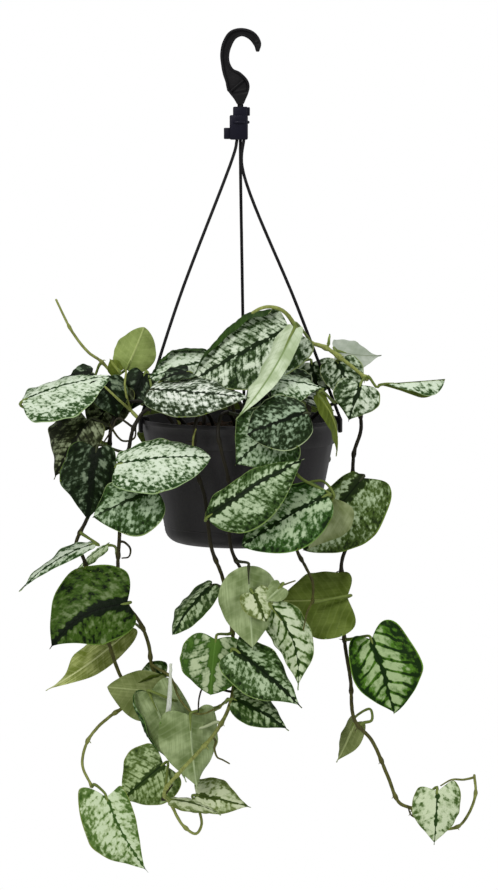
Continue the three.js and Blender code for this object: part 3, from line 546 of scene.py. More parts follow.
def topMaterial(name, look):
    shading = {**topShading, **look}
    material, tree, shader = newMaterial("leafTop_" + name, specular=shading["specular"])
    tones = {part: tint(*value) for part, value in look.items() if isinstance(value, tuple)}
    at = bladeInputs(tree)
    seed, ribWide = at["seed"], look["ribWide"]
    dots = grain(tree, at["slanted"], look["dots"], 0.7, seed)
    specks = grain(tree, at["slanted"], look["dots"] * shading["specks"], 1.0, seed)
    patches = grain(tree, at["slanted"], look["dots"] * shading["patches"], 1.0, seed)
    broad = grain(tree, at["flat"], shading["broad"], 1.0, seed)
    veins = sideVeins(tree, at, broad, look)
    centredDots = calc(tree, "SUBTRACT", dots, 0.5)
    centredSpecks = calc(tree, "SUBTRACT", specks, 0.5)
    value = timesPlus(tree, patches, shading["patchShare"], times(tree, dots, shading["dotShare"]))
    value = timesPlus(tree, centredSpecks, shading["speckShare"],
                      calc(tree, "ADD", value, shading["lift"]))
    # the dark zone beside the midrib is feathered, and narrows towards the tip
    ragged = timesPlus(tree, centredDots, shading["feather"], at["side"])
    narrow = timesPlus(tree, at["share"], shading["ribTaper"] * ribWide, ribWide)
    narrow = calc(tree, "MAXIMUM", narrow, shading["ribLeast"])
    nearRib = spread(tree, calc(tree, "DIVIDE", ragged, narrow), shading["ribZone"], (1.0, 0.0))
    nearEdge = spread(tree, at["out"], (shading["edgeFrom"], shading["edgeTo"]))
    inner = spread(tree, at["out"], shading["veinZone"], (1.0, 0.0))
    onVein = times(tree, spread(tree, veins, shading["veinStep"]), inner)
    need = timesPlus(tree, nearEdge, look["edge"], look["cover"])
    need = timesPlus(tree, nearRib, look["ribGain"], need)
    need = timesPlus(tree, onVein, look["veins"], need)
    # the colour climbs from deep green over green and silver to the brightest silver, which is
    # partly the colour of the silver's satin highlights, mixed in at random: painted highlight
    extra = calc(tree, "SUBTRACT", value, need)
    silver = spread(tree, extra, shading["silverStep"])
    climb = spread(tree, timesPlus(tree, broad, shading["greenDrift"], extra), shading["greenStep"])
    green = blendTint(tree, climb, tones["deep"], tones["green"])
    green = blendTint(tree, nearRib, green, tones["deep"])
    climb = spread(tree, timesPlus(tree, patches, shading["brightDrift"], extra),
                   shading["brightStep"])
    silverSheen = blendTint(tree, climb, tones["silver"], tones["bright"])
    colour = blendTint(tree, silver, green, silverSheen)
    colour = blendTint(tree, ribLineAt(tree, at, shading["ribLine"]), colour, tones["rib"])
    colour = blendTint(tree, spread(tree, at["out"], shading["rim"]), colour, tones["margin"])
    feed(tree, shader.inputs["Base Color"], colour)
    feed(tree, shader.inputs["Roughness"],
         spread(tree, silver, (0.0, 1.0), shading["roughness"], "LINEAR"))
    pebbles = grain(tree, at["flat"], shading["pebbles"], 2.0, seed)
    height = timesPlus(tree, silver, shading["silverHeight"],
                       timesPlus(tree, veins, shading["veinHeight"], pebbles))
    addBump(tree, shader, height, shading["bump"])
    return material


def backMaterial(name, look):
    shading = backShading
    material, tree, shader = newMaterial("leafBack_" + name, specular=shading["specular"])
    field, shade, rib = [tint(*look[part]) for part in ("field", "shade", "rib")]
    at = bladeInputs(tree)
    broad = grain(tree, at["flat"], shading["broad"], 2.0, at["seed"])
    veins = sideVeins(tree, at, broad, look)
    fibre = grain(tree, stretch(tree, at["flat"], shading["fibre"]), 1.0, 2.0, at["seed"])
    colour = blendTint(tree, spread(tree, broad, shading["fieldStep"]), shade, field)
    streaks = times(tree, spread(tree, fibre, shading["fibreStep"]), look["streak"])
    colour = blendTint(tree, streaks, colour, shade)
    onVein = times(tree, spread(tree, veins, shading["veinStep"]), shading["veinTint"])
    colour = blendTint(tree, onVein, colour, rib)
    colour = blendTint(tree, ribLineAt(tree, at, shading["ribLine"]), colour, rib)
    feed(tree, shader.inputs["Base Color"], colour)
    pebbles = grain(tree, at["flat"], shading["pebbles"], 2.0, at["seed"])
    feed(tree, shader.inputs["Roughness"],
         spread(tree, pebbles, shading["pebbleStep"], shading["roughness"], "LINEAR"))
    addBump(tree, shader, timesPlus(tree, veins, shading["veinHeight"], pebbles), shading["bump"])
    return material


def stemMaterial(name, tones, roughness, bump):
    # tones run from the oldest skin to the youngest
    shading = stemShading
    tones = [tint(*tone) for tone in tones]
    material, tree, shader = newMaterial(name, roughness, shading["specular"])
    spot = node(tree, "ShaderNodeTexCoord").outputs["Object"]
    youth = node(tree, "ShaderNodeAttribute", attribute_name="youth").outputs["Fac"]
    blotch = grain(tree, spot, shading["blotches"], 3.0)
    fine = grain(tree, stretch(tree, spot, shading["fibreStretch"]), shading["fibres"], 2.0)
    uneven = timesPlus(tree, blotch, shading["ageSpread"], -shading["ageSpread"] / 2)
    ramp = node(tree, "ShaderNodeValToRGB")
    feed(tree, ramp.inputs[0], calc(tree, "ADD", youth, uneven))
    stops = ramp.color_ramp.elements
    while len(stops) < len(tones):
        stops.new(0.5)
    for i, tone in enumerate(tones):
        stops[i].position = i / (len(tones) - 1)
        stops[i].color = tone
    onFibre = spread(tree, fine, shading["fibreStep"], (0.0, shading["fibreShare"]))
    feed(tree, shader.inputs["Base Color"], blendTint(tree, onFibre, ramp.outputs[0], tones[0]))
    limits = (roughness - shading["smoother"], roughness + shading["rougher"])
    feed(tree, shader.inputs["Roughness"],
         spread(tree, blotch, shading["roughStep"], limits, "LINEAR"))
    addBump(tree, shader, calc(tree, "ADD", fine, blotch), bump)
    return material


def plasticMaterial(name, deep, worn, roughness, specular=0.2):
    # moulded plastic: fine spark-erosion texture, faint flow streaks and a little dust
    shading = plasticShading
    material, tree, shader = newMaterial(name, roughness, specular)
    spot = node(tree, "ShaderNodeTexCoord").outputs["Object"]
    fine = grain(tree, spot, shading["grain"], 3.0)
    flow = grain(tree, stretch(tree, spot, shading["flowStretch"]), shading["flow"], 3.0)
    cloud = grain(tree, spot, shading["clouds"], 3.0)
    dust = times(tree, spread(tree, cloud, shading["cloudStep"]),
                 spread(tree, fine, shading["grainStep"]))
    colour = blendTint(tree, times(tree, dust, shading["dustShare"]), tint(*deep), tint(*worn))
    onFlow = spread(tree, flow, shading["flowStep"], (0.0, shading["flowShare"]))
    feed(tree, shader.inputs["Base Color"], blendTint(tree, onFlow, colour, tint(*worn)))
    limits = (roughness - shading["smoother"], roughness + shading["rougher"])
    feed(tree, shader.inputs["Roughness"],
         spread(tree, flow, shading["roughStep"], limits, "LINEAR"))
    addBump(tree, shader, timesPlus(tree, flow, shading["flowHeight"], fine), shading["bump"])
    return material


topMaterials = {name: topMaterial(name, look) for name, look in leafLooks.items()}
backMaterials = {name: backMaterial(name, look) for name, look in leafBacks.items()}
stalkMaterials = {name: stemMaterial("stalkSkin_" + name, (look["shade"], look["skin"]),
                                     **stalkSkin) for name, look in stalkLooks.items()}
vineSkin = stemMaterial("vineSkin", **vineLook)
print("leaf and stem materials made:",
      len(topMaterials) + len(backMaterials) + len(stalkMaterials) + 1)


# each vine's radius, how green it is at its foot and its end, its foot in the soil and its line
vines = {
    "runner_top_left": {"radius": 1.1, "youth": (0.75, 0.95), "foot": (-46, -8), "line": [
        (-56, -7, -277), (-72, -7, -274), (-86, -12, -265), (-94, -16, -252), (-103, -16, -241),
        (-113, -14, -234), (-125, -12, -219), (-137, -12, -195),
    ]},
    "vine_left_outer": {"radius": 1.4, "youth": (0, 0.95), "foot": (-50, -28), "line": [
        (-60, -30, -275), (-76, -32, -269), (-89, -36, -273), (-95, -38, -286), (-97, -38, -304),
        (-102, -36, -331), (-114, -34, -357), (-122, -33, -376), (-117, -32, -385),
        (-113, -31, -398), (-106, -31, -424), (-98, -31, -450), (-91, -31, -471), (-85, -32, -484),
        (-86, -33, -496), (-96, -38, -503), (-106, -44, -511), (-114, -48, -522), (-117, -52, -538),
        (-110, -56, -553),
    ]},
    "vine_left_inner": {"radius": 1.4, "youth": (0, 0.9), "foot": (-40, -48), "line": [
        (-52, -56, -275), (-67, -62, -272), (-77, -63, -284), (-82, -61, -304), (-87, -57, -332),
        (-89, -53, -368), (-90, -50, -394), (-84, -46, -418), (-74, -44, -433), (-68, -43, -449),
        (-65, -40, -468), (-56, -37, -479), (-48, -38, -490), (-33, -40, -502), (-21, -44, -499),
        (-9, -56, -488),
    ]},
    "vine_front_left": {"radius": 1.4, "youth": (0, 1.3), "foot": (-20, -48), "line": [
        (-24, -60, -276), (-30, -73, -275), (-33, -80, -286), (-32, -76, -315), (-26, -75, -335),
        (-21, -74, -373), (-13, -72, -395), (-7, -62, -428), (-4, -58, -464), (-8, -60, -492),
        (-18, -69, -510), (-32, -77, -525), (-44, -77, -538), (-56, -69, -555), (-51, -57, -567),
        (-43, -51, -583), (-33, -45, -591), (-29, -41, -585), (-31, -38, -573),
    ]},
    "vine_front_middle": {"radius": 1.3, "youth": (0.05, 0.4), "foot": (-4, -52), "line": [
        (-8, -66, -275), (-14, -79, -276), (-16, -86, -288), (-13, -87, -303), (-8, -83, -325),
        (-7, -77, -371), (0, -72, -388), (10, -65, -401), (22, -62, -409), (31, -62, -413),
    ]},
    "vine_front_right": {"radius": 1.3, "youth": (0, 0.55), "foot": (24, -48), "line": [
        (28, -62, -274), (33, -73, -274), (37, -78, -285), (38, -70, -323), (41, -67, -374),
        (48, -69, -388), (53, -70, -399), (53, -67, -414),
    ]},
    "vine_right": {"radius": 1.4, "youth": (0, 0.9), "foot": (50, -30), "line": [
        (62, -38, -274), (76, -44, -268), (86, -46, -273), (89, -43, -288), (84, -41, -306),
        (83, -38, -327), (83, -36, -364), (75, -34, -390), (77, -34, -410), (77, -34, -441),
        (78, -34, -452), (82, -34, -477), (85, -34, -507), (98, -32, -523), (110, -30, -550),
        (119, -28, -571), (129, -26, -576), (138, -20, -584), (150, -16, -593), (164, -14, -592),
        (172, -14, -582), (177, -14, -567), (176, -14, -553),
    ]},
    "vine_top_right": {"radius": 1.6, "youth": (0.95, 1.1), "foot": (22, -10), "line": [
        (30, -20, -262), (38, -28, -240), (46, -34, -227), (60, -34, -228), (77, -34, -239),
        (93, -34, -252),
    ]},
    "shoot_back_left": {"radius": 1.4, "youth": (0.1, 0.5), "foot": (-28, 34), "line": [
        (-38, 50, -274), (-48, 66, -272), (-54, 76, -286), (-54, 78, -312), (-50, 76, -340),
    ]},
    "shoot_back_middle": {"radius": 1.4, "youth": (0.1, 0.5), "foot": (4, 44), "line": [
        (-4, 60, -272), (-8, 78, -270), (-9, 88, -284), (-6, 88, -312), (2, 84, -338),
        (6, 80, -358),
    ]},
    "shoot_back_right": {"radius": 1.4, "youth": (0.1, 0.5), "foot": (34, 30), "line": [
        (42, 46, -273), (48, 62, -271), (53, 74, -284), (54, 78, -308), (48, 78, -334),
    ]},
    "shoot_crown": {"radius": 1.3, "youth": (0.3, 0.8), "foot": (-4, 8), "line": [
        (-8, 10, -268), (-14, 14, -254), (-22, 18, -246),
    ]},
}

# Each leaf: the vine it hangs from, perhaps the place its stalk starts (node) and what the stalk
# passes (via), the blade's foot and tip, the way it faces, its width, and how it differs from
# leafDefaults. asym widens one half and narrows the other, and hem folds the margin over.
leaves = {
    "leaf_left_silver": {"vine": "vine_left_outer", "node": (-97, -38, -300),
        "via": [(-128, -34, -284)], "base": (-160, -46, -267), "tip": (-94, -34, -250),
        "faces": (-0.05, -0.62, 0.78), "width": 68, "fold": (8, -20), "curl": (-14, -26),
        "asym": -0.08, "lobe": (0.08, 0.05), "belly": 1, "blunt": 0.5, "look": "mintSpeckled",
        "under": "paleGreen", "finish": "silver"},
    "leaf_left_pale_round": {"vine": "runner_top_left", "base": (-85, -13, -247),
        "tip": (-72, 0, -216), "faces": (0.25, 0.95, 0.1), "width": 33, "fold": 6, "curl": 14,
        "lobe": 0.05, "belly": 1.2, "blunt": 1, "look": "mottled", "under": "yellowSage",
        "finish": "sage"},
    "leaf_left_hanging": {"vine": "vine_left_outer", "base": (-112, -54, -281),
        "tip": (-137, -54, -325), "faces": (-0.45, -0.85, 0.2), "width": 52, "fold": -14,
        "curl": -20, "asym": -0.3, "look": "oliveBlotched", "stalk": "old", "finish": "dark"},
    "leaf_left_dark": {"vine": "vine_left_inner", "base": (-105, -67, -301),
        "tip": (-112, -67, -354), "faces": (-0.15, -0.95, 0.25), "width": 44, "fold": -8,
        "curl": -14, "asym": -0.2, "belly": 1, "blunt": 0.4, "look": "darkBlue", "stalk": "old",
        "finish": "dark"},
    "leaf_front_pale": {"vine": "vine_left_inner", "base": (-88, -98, -309),
        "tip": (-21, -102, -304), "faces": (0, -0.72, 0.7), "width": 56, "fold": (4, -8),
        "curl": (-14, -22), "asym": -0.12, "lobe": (0.15, 0.1), "belly": 1.15, "blunt": 0.9,
        "look": "mintSpeckled", "under": "paleGreen", "finish": "silver"},
    "leaf_front_left_low": {"vine": "vine_left_inner", "base": (-60, -90, -329),
        "tip": (-107, -90, -349), "faces": (-0.05, -0.82, 0.55), "width": 56, "fold": -10,
        "curl": -18, "lobe": 0.1, "belly": 1.1, "blunt": 0.6, "look": "mottled", "under": "sage"},
    "leaf_left_sliver": {"vine": "vine_left_outer", "base": (-108, -54, -372),
        "tip": (-163, -60, -407), "faces": (-0.25, -0.42, 0.9), "width": 25, "fold": -12,
        "curl": -8, "arch": 0.08, "asym": -0.35, "lobe": 0.05, "look": "mintSpeckled",
        "under": "sage", "finish": "silver"},
    "leaf_left_narrow": {"vine": "vine_left_inner", "base": (-99, -20, -377),
        "tip": (-124, -8, -399), "faces": (-0.3, -0.3, 0.9), "width": 22, "fold": -12, "curl": -10,
        "lobe": 0.05, "look": "mintGreen", "under": "sage"},
    "leaf_left_heart": {"vine": "vine_left_outer", "base": (-83, -66, -415),
        "tip": (-140, -66, -449), "faces": (-0.08, -0.95, 0.3), "width": 62, "fold": -6,
        "curl": -14, "sickle": -0.12, "asym": -0.17, "belly": 1, "blunt": 0.15, "look": "darkHeart",
        "finish": "dark"},
    "leaf_left_olive": {"vine": "vine_left_inner", "base": (-81, -18, -440),
        "tip": (-146, -18, -488), "faces": (0.3, 0.7, -0.62), "width": 35, "fold": 8, "curl": 16,
        "asym": 0.35, "lobe": 0.08, "belly": 1, "look": "mottled", "under": "oliveStreaked",
        "finish": "olive"},
    "leaf_low_olive": {"vine": "vine_left_outer", "base": (-58, -50, -484), "tip": (-99, -48, -480),
        "faces": (0, 0.97, -0.1), "width": 38, "curl": -6, "asym": -0.2, "blunt": 0.75,
        "look": "greenMottled", "under": "paleOlive", "finish": "olive"},
    "leaf_low_sage_left": {"vine": "vine_left_inner", "node": (-48, -38, -490),
        "via": [(-49, -60, -488)], "base": (-67, -60, -482), "tip": (-40, -62, -549),
        "faces": (0.1, 0.95, 0), "width": 46, "fold": 8, "curl": 16, "hem": (0, -150),
        "look": "greenMottled", "under": "sage", "finish": "sage"},
    "leaf_low_sage_right": {"vine": "vine_left_inner", "base": (-37, -70, -497),
        "tip": (-32, -66, -553), "faces": (-0.3, 0.9, 0), "width": 48, "fold": 8, "curl": 14,
        "blunt": 0.2, "look": "greenMottled", "under": "sage", "finish": "sage"},
    "leaf_low_mottled": {"vine": "vine_front_left", "base": (-57, -52, -537),
        "tip": (-90, -46, -567), "faces": (-0.1, -0.95, 0.25), "width": 48, "fold": -6, "curl": -10,
        "look": "yellowMottled"},
    "leaf_low_heart": {"vine": "vine_left_outer", "base": (-99, -66, -559), "tip": (-68, -66, -616),
        "faces": (-0.1, -0.97, 0.2), "width": 41.5, "fold": -4, "curl": -12, "sickle": -0.03,
        "asym": -0.27, "lobe": (0.3, 0.13), "belly": (1.05, 0.6), "look": "mintGreen",
        "under": "sage", "finish": "silver"},
    "leaf_low_thin": {"vine": "vine_front_left", "base": (-50, -69, -560), "tip": (-14, -68, -572),
        "faces": (0, -0.15, 0.98), "width": 28, "fold": -8, "curl": -8, "look": "greyStriped",
        "under": "sage"},
    "leaf_low_grey": {"vine": "vine_front_left", "base": (-33, -48, -561), "tip": (8, -46, -571),
        "faces": (0.05, -0.85, 0.52), "width": 30, "fold": -10, "curl": -12, "asym": 0.2,
        "look": "greyStriped", "under": "sage", "finish": "silver"},
    "leaf_mid_left_narrow": {"vine": "vine_front_left", "base": (-21, -60, -402),
        "tip": (-50, -68, -438), "faces": (-0.65, -0.6, 0.45), "width": 36, "fold": -14,
        "curl": -14, "asym": -0.25, "belly": 1.15, "blunt": 0.9, "look": "darkStriped",
        "under": "sage", "stalk": "old"},
    "leaf_mid_sage": {"vine": "vine_front_middle", "base": (6, -92, -384), "tip": (9, -88, -446),
        "faces": (-0.1, 0.9, 0.2), "width": 46, "fold": 8, "curl": 12, "lobe": 0, "belly": 1.15,
        "blunt": 0.4, "look": "mottled", "under": "sage", "stalk": "old", "finish": "sage"},
    "leaf_mid_light": {"vine": "vine_front_middle", "via": [(31, -82, -409)],
        "base": (21, -92, -411), "tip": (42, -88, -476), "faces": (0.42, -0.88, 0.2), "width": 44,
        "fold": (-70, -6), "curl": (-18, -14), "sickle": 0.1, "asym": -0.1, "lobe": (0.28, 0),
        "belly": 1.2, "look": "lightStriped", "under": "sage", "finish": "silver"},
    "leaf_mid_olive": {"vine": "vine_front_right", "base": (79, -56, -412), "tip": (23, -60, -414),
        "faces": (0.1, 0.85, -0.5), "width": 56, "fold": 6, "curl": 10, "asym": -0.06,
        "look": "mottled", "finish": "olive"},
    "leaf_mid_long": {"vine": "vine_front_left", "node": (-6, -60, -474), "via": [(-3, -86, -462)],
        "base": (-3, -88, -446), "tip": (45, -88, -489), "faces": (0.05, -0.8, 0.6), "width": 44,
        "fold": -14, "curl": -14, "look": "silverStriped", "under": "sage"},
    "leaf_mid_dark": {"vine": "vine_left_inner", "base": (-5, -76, -484), "tip": (36, -74, -508),
        "faces": (-0.1, -0.62, 0.78), "width": 40, "fold": -14, "curl": -10, "asym": 0.3,
        "lobe": (0.05, 0.15), "look": "darkStriped", "under": "sage", "finish": "dark"},
    "leaf_mid_left_broad": {"vine": "vine_front_left", "base": (-18, -74, -440.5),
        "tip": (-22, -68, -483), "faces": (-0.1, -0.9, 0.4), "width": 54, "fold": -6, "curl": -14,
        "belly": 1.15, "blunt": 0.8, "look": "greenBroad", "under": "sage"},
    "leaf_right_heart": {"vine": "vine_right", "base": (97, -46, -445), "tip": (114, -46, -501),
        "faces": (0.08, -0.95, 0.3), "width": 54, "fold": -2, "curl": -10, "sickle": 0.01,
        "asym": 0.16, "lobe": (0.2, 0.27), "belly": (1.1, 1.2), "blunt": (0.3, 0.8),
        "look": "greenHeart", "finish": "dark"},
    "leaf_right_small": {"vine": "vine_right", "node": (88, -34, -512),
        "via": [(98, -31, -508), (97, -28, -500)], "base": (86, -16, -512), "tip": (72, -20, -542),
        "faces": (0.5, 0.85, -0.1), "width": 20, "fold": 14, "curl": 14, "look": "mottled",
        "under": "paleOlive", "finish": "olive"},
    "leaf_right_low_heart": {"vine": "vine_right", "base": (147, -34, -561),
        "tip": (145, -34, -602), "faces": (0.05, -0.98, 0.15), "width": 38, "fold": -8, "curl": -16,
        "lobe": (0.15, 0.3), "blunt": 0.2, "look": "sageMint", "under": "sage", "finish": "silver"},
    "leaf_right_mottled": {"vine": "vine_right", "base": (90, -50, -324), "tip": (46, -52, -378),
        "faces": (0.12, -0.95, 0.3), "width": 50, "fold": -6, "curl": -12, "asym": 0.38,
        "lobe": (0.06, 0.22), "belly": (1.05, 1.08), "blunt": 0.8, "look": "denseMottled",
        "stalk": "old"},
    "leaf_front_low": {"vine": "vine_front_right", "node": (38, -70, -316),
        "via": [(46, -86, -322)], "base": (63, -92, -332), "tip": (1, -98, -369),
        "faces": (0, -0.88, 0.5), "width": 52, "fold": -6, "curl": -16, "lobe": 0.05, "belly": 1.2,
        "blunt": 0.8, "look": "greenMottled"},
    "leaf_front_olive": {"vine": "vine_front_right", "node": (38, -70, -328),
        "via": [(60, -74, -324)], "base": (67, -80, -336), "tip": (49, -80, -375),
        "faces": (0, 0.95, 0.2), "width": 44, "fold": 2, "curl": 4, "lobe": 0.08, "look": "mottled",
        "under": "greyOlive", "finish": "olive"},
    "leaf_front_long": {"vine": "vine_front_left", "base": (-24, -106, -347),
        "tip": (46, -110, -304), "faces": (-0.22, -0.9, 0.42), "width": 42, "fold": -10,
        "curl": -14, "asym": -0.3, "lobe": 0, "belly": 1, "blunt": 0.5, "look": "silverStriped",
        "under": "sage"},
    "leaf_front_dark": {"vine": "vine_front_right", "base": (48, -97, -272), "tip": (5, -105, -287),
        "faces": (0.05, -0.85, 0.5), "width": 46, "fold": -6, "curl": -16, "lobe": 0.1,
        "belly": 1.15, "blunt": 0.9, "look": "darkMottled", "stalk": "old", "finish": "dark"},
    "leaf_front_under": {"vine": "vine_front_middle", "base": (28, -86, -282),
        "tip": (-4, -90, -311), "faces": (-0.05, -0.9, 0.3), "width": 56, "fold": -8, "curl": -12,
        "asym": 0.05, "blunt": 0.2, "look": "mottled", "stalk": "old"},
    "leaf_top_large": {"vine": "vine_top_right", "node": (38, -28, -240), "base": (36, -50, -214),
        "tip": (-41.2, -57, -255.9), "faces": (-0.1, -0.85, 0.55), "width": 66, "fold": (2, -8),
        "curl": (-6, -14), "arch": 0.04, "hem": (165, 0), "hemFrom": -0.05, "asym": -0.04,
        "lobe": (0.04, 0.2), "belly": (0.85, 0.95), "blunt": 0.2, "look": "greyMottled",
        "under": "darkGreen"},
    "leaf_top_folded": {"vine": "vine_top_right", "node": (52, -34, -227), "base": (40, -72, -213),
        "tip": (-3, -106, -277), "faces": (0.62, 0.72, -0.2), "width": 28, "fold": 8, "curl": 20,
        "asym": 0.4, "lobe": 0.1, "look": "mintSpeckled", "under": "mintSmooth", "finish": "sage"},
    "leaf_top_silver": {"vine": "vine_left_inner", "base": (-66, -66, -257.5),
        "tip": (9, -90, -262), "faces": (0, -0.62, 0.78), "width": 45, "fold": -8, "curl": -14,
        "sickle": -0.05, "lobe": 0.08, "belly": 1.1, "blunt": 0.3, "look": "silverWhite",
        "stalk": "old", "finish": "silver"},
    "leaf_top_back_left": {"vine": "vine_left_inner", "base": (-24.6, -32, -239.2),
        "tip": (-67.9, -42, -251.8), "faces": (0, -0.7, 0.7), "width": 44, "fold": -6, "curl": -10,
        "hem": (165, 0), "asym": -0.16, "belly": 1, "blunt": 0.5, "look": "mintSpeckled",
        "under": "darkGreen", "stalk": "old", "finish": "silver"},
    "leaf_top_light": {"vine": "vine_top_right", "node": (38, -28, -240), "via": [(38, -58, -263)],
        "base": (24, -73, -250), "tip": (61, -71, -257), "faces": (0, -0.45, 0.9), "width": 44,
        "fold": -10, "curl": -16, "lobe": 0.1, "look": "mintSpeckled", "finish": "silver"},
    "leaf_right_olive_strip": {"vine": "vine_right", "base": (55, -70, -261),
        "tip": (70, -52, -308), "faces": (-0.95, 0.3, -0.1), "width": 22, "curl": 10, "arch": -0.12,
        "lobe": 0.05, "look": "mottled", "under": "yellowOlive", "finish": "olive"},
    "leaf_right_droop": {"vine": "vine_top_right", "base": (88, -56, -255), "tip": (79, -60, -282),
        "faces": (0.1, -0.85, 0.5), "width": 36, "fold": -6, "curl": -14, "look": "greyMottled"},
    "leaf_right_twisted": {"vine": "vine_top_right", "base": (102.3, -37, -255.9),
        "tip": (151, -38, -252), "faces": (0, -0.3, 0.95), "width": 28, "fold": (-10, -100),
        "curl": -8, "arch": 0, "twist": 50, "lobe": 0.05, "belly": 3, "blunt": 0.9,
        "look": "mintSpeckled"},
}
# the leaves of the hidden shoots
shootLeaves = {
    "shoot_back_left": [
        {"base": (-60, 84, -280), "tip": (-62, 96, -328), "faces": (-0.5, 0.85, 0.3), "width": 48,
         "look": "mottled"},
        {"base": (-40, 84, -310), "tip": (-28, 92, -356), "faces": (0.1, 0.95, 0.3), "width": 44,
         "look": "darkStriped"},
        {"base": (-49, 60, -260), "tip": (-72, 84, -272), "faces": (-0.2, 0.3, 0.95), "width": 44,
         "look": "mintSpeckled"},
    ],
    "shoot_back_middle": [
        {"base": (-20, 92, -276), "tip": (-30, 104, -324), "faces": (-0.2, 0.9, 0.4), "width": 50,
         "look": "greenMottled"},
        {"base": (6, 94, -300), "tip": (20, 100, -346), "faces": (0.2, 0.95, 0.3), "width": 46,
         "look": "silverStriped"},
        {"base": (-17, 62, -256), "tip": (-26, 94, -262), "faces": (-0.1, 0.2, 0.97), "width": 36,
         "look": "mottled"},
    ],
    "shoot_back_right": [
        {"base": (46, 82, -278), "tip": (34, 98, -318), "faces": (0.1, 0.9, 0.45), "width": 46,
         "look": "darkMottled"},
        {"base": (60, 80, -300), "tip": (58, 90, -346), "faces": (0.85, 0.45, 0.2), "width": 42,
         "look": "mottled"},
        {"base": (52, 56, -258), "tip": (66, 88, -268), "faces": (0.25, 0.25, 0.93), "width": 44,
         "look": "mintSpeckled"},
    ],
    "shoot_crown": [
        {"base": (-26, 22, -242), "tip": (-60, 40, -250), "faces": (-0.2, -0.2, 0.95), "width": 44,
         "look": "mintGreen"},
        {"base": (-16, 26, -246), "tip": (6, 58, -250), "faces": (0.1, 0.1, 0.98), "width": 46,
         "look": "greyMottled"},
        {"base": (-2, 12, -248), "tip": (36, 34, -248), "faces": (0.1, -0.1, 0.98), "width": 42,
         "look": "mintSpeckled"},
    ],
}
# small leaves that fill the crown and the low left group
extraLeaves = {
    "newLeafSpike": {"vine": "vine_front_left", "node": (-14, -66, -505), "via": [(-30, -63, -508)],
        "base": (-54, -66, -501), "tip": (-51, -70, -459), "faces": (0.3, -0.9, 0), "width": 9,
        "fold": 30, "curl": (150, 190), "arch": 0.03, "lobe": 0, "look": "mintSpeckled",
        "under": "palest", "stalk": "pale", "finish": "sage"},
    "crownBud": {"vine": "vine_top_right", "base": (65, -34, -227), "tip": (66, -34, -219),
        "faces": (0, -1, 0.2), "width": 7, "fold": 30, "curl": (150, 170), "lobe": 0,
        "look": "mintGreen", "under": "yellowSage"},
    "crownFarLeaf": {"vine": "vine_top_right", "base": (72, 6, -235), "tip": (106, 10, -238),
        "faces": (-0.1, 0.6, -0.8), "width": 34, "look": "greyMottled", "under": "greyGreen"},
    "leftShadeLeaf": {"vine": "runner_top_left", "base": (-110, -14, -249),
        "tip": (-128, -18, -251), "faces": (0, -0.5, 0.85), "width": 22, "look": "darkBlue"},
    "leftTuckedLeaf": {"vine": "vine_left_outer", "base": (-100, -40, -253),
        "tip": (-90, -44, -282), "faces": (0.3, -0.9, 0.3), "width": 30, "look": "darkBlue",
        "under": "darkGreen"},
    "rightStrandLeaf": {"vine": "vine_top_right", "base": (53, -8, -242), "tip": (58, -12, -270),
        "faces": (-0.1, -0.85, 0.5), "width": 40, "look": "greyMottled", "under": "sage"},
    "rightUpperLeaf": {"vine": "vine_top_right", "base": (72, -28, -240), "tip": (83, -34, -269),
        "faces": (0.2, -0.8, 0.5), "width": 34, "look": "greyMottled", "under": "sage"},
    "rightPaleStrip": {"vine": "vine_right", "base": (48, -60, -264), "tip": (69, -56, -274),
        "faces": (0.1, -0.5, 0.85), "width": 18, "look": "silverWhite", "under": "sage"},
    "midPaleLobe": {"vine": "vine_front_middle", "base": (9, -92, -403), "tip": (19, -93, -425),
        "faces": (0.1, -0.9, 0.3), "width": 24, "blunt": 0.5, "look": "greyStriped",
        "under": "sage", "finish": "silver"},
    "midSageCurl": {"vine": "vine_front_middle", "base": (30, -92, -399), "tip": (19, -94, -409),
        "faces": (0.2, 0.9, -0.2), "width": 16, "fold": 10, "blunt": 0.5, "look": "greyStriped",
        "under": "sage", "finish": "sage"},
    "lowRolledLeaf": {"vine": "vine_left_inner", "base": (-55, -40, -472), "tip": (-79, -44, -478),
        "faces": (0, -0.6, 0.8), "width": 24, "fold": 10, "curl": (60, 80), "look": "darkStriped"},
    "crownMiddleLeaf": {"vine": "vine_top_right", "base": (31, -48, -252), "tip": (48, -58, -268),
        "faces": (0.1, -0.7, 0.7), "width": 40, "look": "darkMottled"},
    # a dark olive leaf in the shaded hollow of the left shoulder: its dark colours are partly its
    # own olive and partly painted shade
    "leftShoulderLeaf": {"vine": "vine_left_outer", "base": (-91, -30, -258),
        "tip": (-112, -32, -298), "faces": (0.15, -0.9, 0.4), "width": 34, "look": "oliveBlotched",
        "under": "darkGreen", "finish": "dark"},
    # a dark leaf that fills the shaded gap by the rim's left end: its dark colours are painted
    # shade
    "leftShadowLeaf": {"vine": "vine_left_inner", "base": (-71, -26, -249), "tip": (-82, -30, -278),
        "faces": (-0.2, -0.9, 0.2), "width": 26, "look": "darkBlue", "under": "darkGreen"},
    "runnerSheathLeaf": {"vine": "runner_top_left", "base": (-90, -22, -248),
        "tip": (-97, -26, -238), "faces": (-0.3, 0.9, -0.2), "width": 13, "fold": 25,
        "look": "yellowMottled", "under": "yellowOlive"},
    # a dark leaf that fills the shaded gap behind the crown, above the rim: its dark colours are
    # painted shade
    "crownShadowLeaf": {"vine": "vine_front_right", "base": (26, -34, -261), "tip": (1, -40, -274),
        "faces": (0, -0.9, 0.35), "width": 30, "look": "darkBlue", "under": "darkGreen",
        "finish": "dark"},
    "crownLeftLeaf": {"vine": "vine_left_inner", "base": (-38, -55, -245), "tip": (-60, -60, -253),
        "faces": (-0.1, -0.35, 0.93), "width": 26, "look": "darkBlue"},
}
